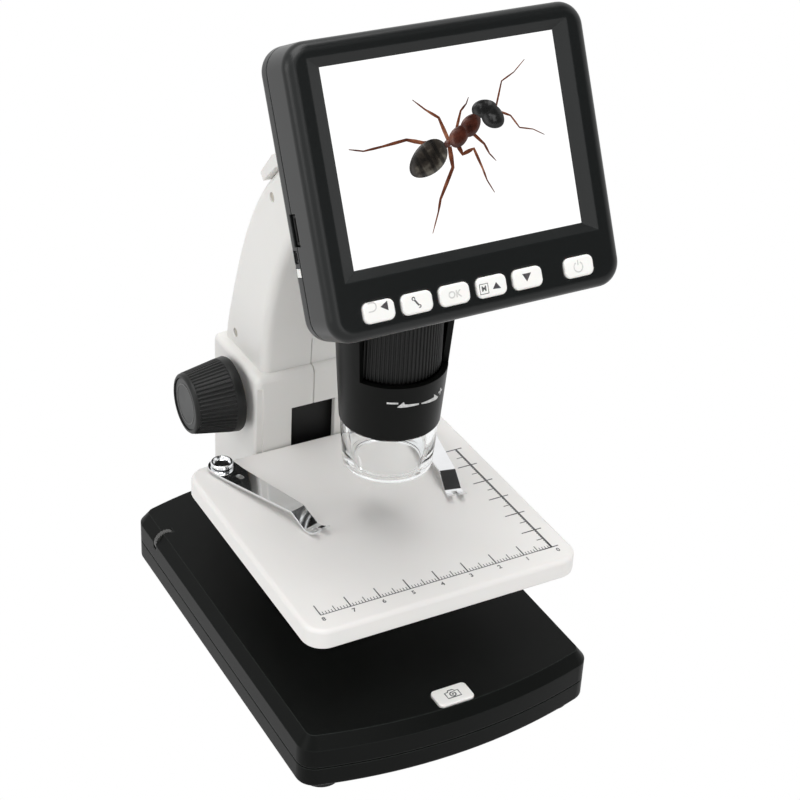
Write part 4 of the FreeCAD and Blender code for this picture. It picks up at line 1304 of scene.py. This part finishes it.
@dataclass
class FocusDrive:
    """The knobs, their shaft and the pinion."""

    finishes: FinishRack
    shaft_y: float = 45.4
    shaft_z: float = 72.9
    inner_x: float = 23.6
    ribs: int = 48
    rib_start: float = 3.4
    rib_length: float = 12.1
    rib_width: float = 0.84
    rib_low: float = 11.98
    rib_high: float = 9.90

    def build(self) -> None:
        """Build the ribbed knobs and dress the rest."""
        ribs = rib_ring_tree()
        for side in Side:
            self.build_knob(side, ribs)
        dress(self.finishes.knob_disc, "knob_disc_left", "knob_disc_right")
        dress(self.finishes.steel, "focus_shaft")
        dress(self.finishes.inner_black, "pinion")

    def build_knob(self, side: Side, ribs: RepeatTree) -> None:
        """A tapered knob with fine ribs, a plain rim and a recessed end.

        Args:
            side: The side it stands on.
            ribs: The tree that lays the ribs.
        """
        profile = [(2.0, 0.0), (11.8, 0.0), (12.4, 0.25), (12.7, 0.9), (12.4, 3.3), (11.95, 3.6),
                   (9.95, 15.2), (10.25, 15.5), (10.1, 16.3), (9.75, 16.7), (9.3, 16.9), (8.8, 16.9),
                   (8.7, 15.9), (0.0, 15.9), (0.0, 12.9), (2.0, 12.9)]
        turn = math.radians(90.0 * side.value)
        start = Vector((side.value * self.inner_x, self.shaft_y, self.shaft_z))
        place = Matrix.Translation(start) @ Matrix.Rotation(turn, 4, "Y")
        body = lathe_piece("knob body", profile, place, self.finishes.knob_black)
        move = start + Vector((side.value * self.rib_start, 0.0, 0.0))
        grip = ribs.bake("knob ribs", {
            "Count": self.ribs, "Low Radius": self.rib_low * MM, "High Radius": self.rib_high * MM,
            "Length": self.rib_length * MM, "Rib Width": self.rib_width * MM, "Turn": [0.0, turn, 0.0],
            "Move": [v * MM for v in move], "Material": self.finishes.knob_black})
        name = "left" if side is Side.LEFT else "right"
        band = lathe_piece("disc band", [(6.5, 16.5), (6.9, 16.5), (6.9, 16.63), (6.5, 16.63)], place,
                           self.finishes.wheel_grey)
        knob = join_meshes("ribbed_knob_" + name, [body, grip, band])
        finish_piece(knob, Body.DRIVE, ("focus_knob_" + name,))


@dataclass
class SpecimenStage:
    """The stage with its printed rule, and the parts that carry it."""

    finishes: FinishRack
    top: float = 57.0
    corner_x: float = 40.06
    corner_y: float = -54.14
    centimetre: float = 10.0
    stud_x: float = 35.5
    stud_y: float = 26.8
    ink: float = 0.03
    line_width: float = 0.30
    rule_across: float = 80.0
    rule_deep: float = 60.0
    side_line_gain: float = 2.4
    digits: int = 9
    digit_height: float = 1.6
    digit_drop: float = -2.0
    zero_shift: float = 1.1

    def build(self) -> None:
        """Dress the stage and print its rule."""
        dress(self.finishes.stage_white, "stage_plate")
        dress(self.finishes.inner_black, "stage_carriage", "focus_rack", "dust_shield")
        dress(self.finishes.steel, "stage_screws")
        self.build_studs()
        self.print_rule()

    def build_studs(self) -> None:
        """The two turned studs that the clips swing on, each with a dished head."""
        profile = [(0.0, -6.6), (1.5, -6.6), (1.5, 0.0), (3.2, 0.0), (3.2, 0.6), (1.5, 0.6), (1.5, 2.1),
                   (3.3, 2.1), (3.7, 2.4), (3.7, 3.1), (3.45, 3.45), (3.0, 3.55), (2.6, 3.25), (2.3, 2.6),
                   (0.0, 2.5)]
        studs = []
        for side in Side:
            place = Matrix.Translation(Vector((side.value * self.stud_x, self.stud_y, self.top)))
            studs.append(lathe_piece("stud", profile, place, self.finishes.chrome, 64))
        finish_piece(join_meshes("dished_clip_studs", studs), Body.STAGE, ("clip_studs",))

    def print_rule(self) -> None:
        """Two printed scales that meet at the stage's front right corner."""
        repeat = tick_row_tree()
        rows = []
        for front, count, spacing, inner, outer, width in (
                (True, 81, 1.0, 1.3, 0.0, 0.24), (True, 16, 5.0, 2.6, 0.0, 0.28),
                (True, 9, 10.0, 4.9, 0.0, 0.38), (False, 61, 1.0, 0.6, 0.0, 0.24),
                (False, 12, 5.0, 2.4, 0.0, 0.34), (False, 7, 10.0, 4.8, 2.3, 0.42)):
            middle = (inner - outer) / 2
            reach = inner + outer
            if front:
                start = (self.corner_x, self.corner_y + middle, self.top + self.ink / 2)
                step = (-spacing, 0.0, 0.0)
                size = (width, reach, self.ink)
            else:
                start = (self.corner_x - middle, self.corner_y, self.top + self.ink / 2)
                step = (0.0, spacing, 0.0)
                size = (reach, width, self.ink)
            rows.append(repeat.bake("rule ticks", {
                "Count": count, "Start": [v * MM for v in start], "Step": [v * MM for v in step],
                "Tick Size": [v * MM for v in size], "Material": self.finishes.rule_ink}))
        plane = level_plane(self.corner_x, self.corner_y, self.top)
        ink = self.finishes.rule_ink
        across = [(0.0, 0.0), (-self.rule_across, 0.0)]
        deep = [(0.0, 0.0), (0.0, self.rule_deep)]
        rows.append(stroke_mark("rule front line", across, self.line_width, self.ink, plane, ink))
        side_width = self.line_width * self.side_line_gain
        rows.append(stroke_mark("rule side line", deep, side_width, self.ink, plane, ink))
        for number in range(self.digits):
            along = -number * self.centimetre + (self.zero_shift if number == 0 else 0.0)
            rows.append(lettering("rule digit %d" % number, str(number), self.digit_height,
                                  (along, self.digit_drop), plane, self.ink, ink))
        finish_piece(join_meshes("stage_rule", rows), Body.STAGE)


@dataclass
class SpringClip:
    """A bent and forked spring strip that swings on its stud."""

    finishes: FinishRack
    side: Side

    def build(self) -> None:
        """Dress the clip."""
        name = "clip_left" if self.side is Side.LEFT else "clip_right"
        dress(self.finishes.chrome, name)


@dataclass
class CameraTube:
    """The black tube with its zoom ring, lamp ring, lenses and clear cap."""

    finishes: FinishRack
    axis_y: float = -18.54
    low: float = 95.7
    low_radius: float = 15.5
    growth: float = 0.07
    ink: float = 0.05
    ring_low: float = 115.4
    ring_high: float = 142.6
    ring_radius: float = 14.75
    ring_bore: float = 10.05
    ring_ribs: int = 72
    rib_width: float = 0.80
    wrap_reach: int = 40
    wrap_step: int = 2

    def build(self) -> None:
        """Dress the tube, build its ring and cap and print the zoom marks on it."""
        dress(self.finishes.black_tube, "camera_tube")
        dress(self.finishes.inner_black, "lens_barrel")
        dress(self.finishes.glass, "lenses")
        dress(self.finishes.dark_board, "lamp_board")
        dress(self.finishes.lamp, "white_lamps")
        dress(self.finishes.board, "sensor_board")
        self.build_ring()
        self.build_cap()
        self.print_zoom_marks()

    def build_ring(self) -> None:
        """The zoom ring with its fine upright ribs."""
        core = self.ring_radius - self.rib_width / 2 - 0.05
        length = self.ring_high - self.ring_low
        profile = [(self.ring_bore, 0.0), (core - 0.2, 0.0), (core, 0.2), (core, length - 0.2),
                   (core - 0.2, length), (self.ring_bore, length)]
        base = Vector((0.0, self.axis_y, self.ring_low))
        sleeve = lathe_piece("ring sleeve", profile, Matrix.Translation(base), self.finishes.knob_black)
        reach = self.ring_radius - self.rib_width / 2
        grip = rib_ring_tree().bake("ring ribs", {
            "Count": self.ring_ribs, "Low Radius": reach * MM, "High Radius": reach * MM,
            "Length": length * MM, "Rib Width": self.rib_width * MM, "Turn": [0.0, 0.0, 0.0],
            "Move": [v * MM for v in base], "Material": self.finishes.knob_black})
        ring = join_meshes("ribbed_zoom_ring", [sleeve, grip])
        finish_piece(ring, Body.RING, ("zoom_ring",))

    def build_cap(self) -> None:
        """The clear distance cap, a smooth thin taper with a turned-in lower rim."""
        profile = [(13.5, 97.7), (13.5, 95.5), (15.1, 95.5), (14.1, 80.4), (13.95, 79.85), (13.3, 79.6),
                   (11.0, 79.6), (11.0, 80.9), (12.3, 81.1), (12.5, 81.4), (12.2, 97.7)]
        place = Matrix.Translation(Vector((0.0, self.axis_y, 0.0)))
        cap = lathe_piece("distance_cap", profile, place, self.finishes.clear_cap, 160)
        finish_piece(cap, Body.STAND, ("clear_cap",))

    def on_tube(self, outline: Outline, name: str) -> Piece:
        """Wrap a flat mark round the tube in fine steps.

        Args:
            outline: Corners as (degrees to the right of the front, height in mm).
            name: The object's name.

        Returns:
            The mark.
        """
        shape = bmesh.new()
        shape.faces.new([shape.verts.new((degrees, height, 0.0)) for degrees, height in outline])
        for degrees in range(-self.wrap_reach, self.wrap_reach + 1, self.wrap_step):
            everything = shape.verts[:] + shape.edges[:] + shape.faces[:]
            bmesh.ops.bisect_plane(shape, geom=everything, plane_co=(degrees + 0.5, 0, 0), plane_no=(1, 0, 0))
        raised = bmesh.ops.extrude_face_region(shape, geom=shape.faces[:])
        for vertex in raised["geom"]:
            if isinstance(vertex, bmesh.types.BMVert):
                vertex.co.z = 1.0
        for vertex in shape.verts:
            lift = self.ink if vertex.co.z > 0.5 else -0.1
            radius = self.low_radius + self.growth * (vertex.co.y - self.low) + lift
            angle = math.radians(270.0 + vertex.co.x)
            x = radius * math.cos(angle)
            y = self.axis_y + radius * math.sin(angle)
            vertex.co = Vector((x, y, vertex.co.y))
        return mesh_piece(name, shape, self.finishes.white_ink, smooth=False)

    def print_zoom_marks(self) -> None:
        """A minus, two slim arrows and a plus below the ring's window."""
        plus_at = 33.8
        plus_level = 109.4
        marks = [
            self.on_tube([(-33.1, 109.6), (-21.4, 109.6), (-21.4, 110.2), (-33.1, 110.2)], "zoom minus"),
            self.on_tube([(-22.4, 108.5), (-18.7, 108.3), (1.4, 108.45), (1.3, 109.0), (-14.2, 109.4),
                          (-15.8, 110.3)], "zoom arrow in"),
            self.on_tube([(4.6, 108.4), (13.6, 107.9), (26.7, 107.4), (30.4, 107.9), (21.6, 110.0),
                          (22.3, 108.9), (4.6, 108.8)], "zoom arrow out"),
            self.on_tube([(plus_at - 4, plus_level - 0.27), (plus_at + 4, plus_level - 0.27),
                          (plus_at + 4, plus_level + 0.27), (plus_at - 4, plus_level + 0.27)], "plus bar"),
            self.on_tube([(plus_at - 0.9, plus_level - 1.2), (plus_at + 0.9, plus_level - 1.2),
                          (plus_at + 0.9, plus_level + 1.2), (plus_at - 0.9, plus_level + 1.2)], "plus post"),
        ]
        finish_piece(join_meshes("zoom_marks", marks), Body.STAND)


@dataclass
class ScreenUnit:
    """The tilting screen with its keys, ports and the picture it shows."""

    finishes: FinishRack
    key_v: float = -38.1
    key_proud: float = 0.9
    glass_front: float = -1.8
    ink: float = 0.03
    limb_sides: int = 8
    limb_rise: float = 0.06
    limb_steps: int = 4
    joint_swell: float = 0.25
    pebble_taper: float = 0.12
    specimen_rise: float = 0.75

    def plane(self, d: float) -> DrawingPlane:
        """The plane at a depth in front of the screen unit's own front."""
        return DrawingPlane(SCREEN_CENTRE + SCREEN_D * d, SCREEN_U, SCREEN_V)

    def build(self) -> None:
        """Dress the unit, print its keys and show the specimen."""
        dress(self.finishes.screen_case, "screen_bezel", "screen_back")
        dress(self.finishes.steel, "screen_screws", "hinge_pin")
        dress(self.finishes.inner_black, "card_slot", "usb_port")
        dress(self.finishes.board, "main_board", "key_board")
        dress(self.finishes.white_key, "key_back", "key_setup", "key_ok", "key_mode", "key_down", "key_power",
              "status_lamp")
        dress(self.finishes.lit, "screen_window", "display_panel")
        self.print_keys()
        self.show_specimen()

    def sign(self, name: str, corners: Outline, ink: Material) -> Piece:
        """A solid sign on a key's top."""
        return flat_mark(name, corners, self.ink, self.plane(self.key_proud), ink)

    def line(self, name: str, points: Outline, width: float, ink: Material, closed: bool = False) -> Piece:
        """A printed line on a key's top."""
        return stroke_mark(name, points, width, self.ink, self.plane(self.key_proud), ink, closed)

    def print_keys(self) -> None:
        """The generic signs on the six keys."""
        plane = self.plane(self.key_proud)
        v = self.key_v
        faint = self.finishes.faint_ink
        dark = self.finishes.key_ink
        grey = self.finishes.rule_ink
        bend = arc_points((-33.3, -36.5), 1.2, 80, -90, 12)
        hook = [(-34.5, -35.3), (-33.3, -35.3), *bend, (-34.5, -37.7)]
        back = [
            self.line("return line", hook, 0.34, faint),
            self.sign("back pointer", [(-30.9, -37.0), (-28.7, -35.7), (-28.7, -38.3)], dark),
        ]
        tool = [
            self.line("tool shank", [(-20.8, -37.1), (-19.7, -38.7)], 0.5, grey),
            self.line("tool jaw", arc_points((-21.0, -36.8), 0.42, -10, 260, 9), 0.3, grey),
            self.line("tool end", arc_points((-19.5, -39.0), 0.38, 150, -120, 9), 0.3, grey),
        ]
        ok = [lettering("ok letters", "OK", 1.9, (-8.6, v), plane, self.ink, faint)]
        box = [(-0.9, -39.7), (1.7, -39.7), (1.7, -37.0), (-0.9, -37.0)]
        mode = [
            self.line("mode frame", box, 0.24, grey, closed=True),
            lettering("mode letter", "M", 1.4, (0.4, -38.35), plane, self.ink, grey),
            self.sign("up pointer", [(3.1, -38.9), (5.6, -39.1), (4.3, -37.2)], dark),
        ]
        down = [self.sign("down pointer", [(12.7, -36.7), (13.9, -38.9), (15.5, -36.7)], dark)]
        power = [
            self.line("power ring", arc_points((30.6, v), 1.4, 120, 420, 24), 0.34, faint),
            self.line("power bar", [(30.6, v + 0.5), (30.6, v + 1.9)], 0.34, faint),
        ]
        for name, marks, body in (
                ("key_back_sign", back, Body.BACK_KEY), ("key_setup_sign", tool, Body.SETUP_KEY),
                ("key_ok_sign", ok, Body.OK_KEY), ("key_mode_sign", mode, Body.MODE_KEY),
                ("key_down_sign", down, Body.DOWN_KEY), ("key_power_sign", power, Body.POWER_KEY)):
            finish_piece(join_meshes(name, marks), body)

    def pebble(self, name: str, centre: Pair, radii: Pair, turn: float, rise: float,
               material: Material) -> Piece:
        """A low round form on the panel, egg-shaped along its length.

        Args:
            name: The object's name.
            centre: Its middle on the panel.
            radii: Its half length and half width.
            turn: The direction of its length, in degrees.
            rise: Its height off the panel.
            material: Its material.

        Returns:
            The form.
        """
        shape = bmesh.new()
        bmesh.ops.create_uvsphere(shape, u_segments=40, v_segments=24, radius=1.0)
        for vertex in shape.verts:
            taper = 1.0 - self.pebble_taper * vertex.co.x
            vertex.co = Vector((vertex.co.x * radii[0], vertex.co.y * radii[1] * taper, vertex.co.z * rise))
        middle = Matrix.Translation(Vector((centre[0], centre[1], 0.0)))
        move = middle @ Matrix.Rotation(math.radians(turn), 4, "Z")
        bmesh.ops.transform(shape, matrix=self.plane(self.glass_front).matrix() @ move, verts=shape.verts)
        return mesh_piece(name, shape, material)

    def limb(self, name: str, points: Outline, widths: Pair) -> Piece:
        """A slim limb that tapers from its root to its tip.

        Args:
            name: The object's name.
            points: Its middle on the panel, root first.
            widths: Its width at the root and at the tip.

        Returns:
            The limb.
        """
        middle = [Vector((x, y, 0.0)) for x, y in points]
        fine = []
        for first, second in zip(middle, middle[1:]):
            for step in range(self.limb_steps):
                fine.append(first.lerp(second, step / self.limb_steps))
        fine.append(middle[-1])
        shape = bmesh.new()
        rings = []
        sides = self.limb_sides
        for index, point in enumerate(fine):
            before = fine[max(index - 1, 0)]
            after = fine[min(index + 1, len(fine) - 1)]
            along = (after - before).normalized()
            across = Vector((-along.y, along.x, 0.0))
            share = index / (len(fine) - 1)
            swell = 1.0 + self.joint_swell * math.sin(share * math.pi * (len(points) - 1)) ** 2
            half = (widths[0] * (1 - share) + widths[1] * share) * swell / 2
            ring = []
            for side in range(sides):
                angle = 2 * math.pi * side / sides
                offset = across * (half * math.cos(angle)) + Vector((0, 0, self.limb_rise * math.sin(angle)))
                ring.append(shape.verts.new(point + offset))
            rings.append(ring)
        for first, second in zip(rings, rings[1:]):
            for side in range(sides):
                after = (side + 1) % sides
                shape.faces.new((first[side], first[after], second[after], second[side]))
        shape.faces.new(rings[0])
        shape.faces.new(list(reversed(rings[-1])))
        bmesh.ops.transform(shape, matrix=self.plane(self.glass_front + 0.05).matrix(), verts=shape.verts)
        return mesh_piece(name, shape, self.finishes.limb)

    def show_specimen(self) -> None:
        """A simplified insect in low relief, in the pose of the one in the real picture."""
        rise = self.specimen_rise
        forms = [
            self.pebble("specimen abdomen", (-8.5, -1.6), (6.5, 4.2), 208.0, rise, self.finishes.abdomen),
            self.pebble("specimen waist", (-1.9, 1.5), (1.3, 1.0), 30.0, rise, self.finishes.thorax),
            self.pebble("specimen chest", (1.9, 2.9), (3.6, 2.5), 34.0, rise, self.finishes.thorax),
            self.pebble("specimen neck", (5.9, 5.2), (3.6, 2.6), 36.0, rise, self.finishes.thorax),
            self.pebble("specimen brow", (10.7, 8.9), (3.9, 2.4), 3.0, rise, self.finishes.head),
            self.pebble("specimen face", (13.0, 6.3), (3.7, 3.1), -40.0, rise * 1.1, self.finishes.head),
        ]
        limbs = (
            ([(-5.0, 2.0), (-9.2, 2.8), (-14.0, 4.4), (-21.3, 3.8), (-26.9, 3.5), (-31.0, 4.6)], (1.2, 0.25)),
            ([(-1.4, 1.6), (-3.4, 8.6), (-7.0, 11.3), (-10.3, 14.4)], (1.1, 0.22)),
            ([(1.0, 4.2), (3.5, 9.4), (5.5, 11.0), (6.5, 12.6)], (0.8, 0.2)),
            ([(-1.6, 0.6), (-1.6, -5.0), (-6.8, -12.6), (-8.1, -15.9), (-10.8, -21.2)], (1.3, 0.2)),
            ([(0.6, 1.4), (2.0, -2.0), (5.6, -1.1), (7.3, -6.7), (8.1, -10.1), (9.8, -13.7)], (1.2, 0.22)),
            ([(5.6, 3.4), (9.0, -0.4), (10.1, -3.2), (11.8, -5.4)], (0.9, 0.22)),
            ([(14.2, 8.4), (17.3, 15.3), (21.5, 17.1), (25.4, 20.0)], (0.55, 0.2)),
            ([(15.4, 7.3), (18.4, 5.8), (20.6, 2.2), (24.7, 1.1), (28.0, -0.9)], (0.6, 0.2)),
        )
        for number, (points, widths) in enumerate(limbs):
            forms.append(self.limb("specimen limb %d" % number, points, widths))
        picture = join_meshes("specimen_picture", forms)
        picture.data.shade_smooth()
        finish_piece(picture, Body.SCREEN)


def main() -> None:
    """Build the studio and the microscope, sub-assembly by sub-assembly."""
    logging.basicConfig(level=logging.INFO, format="%(message)s")
    Studio().build()
    finishes = FinishRack()
    assemblies = (
        StandBase(finishes), Column(finishes), FocusDrive(finishes), SpecimenStage(finishes),
        SpringClip(finishes, Side.LEFT), SpringClip(finishes, Side.RIGHT), CameraTube(finishes),
        ScreenUnit(finishes),
    )
    for assembly in assemblies:
        assembly.build()
        LOG.info("built %s", type(assembly).__name__)


if __name__ == "__main__":
    main()
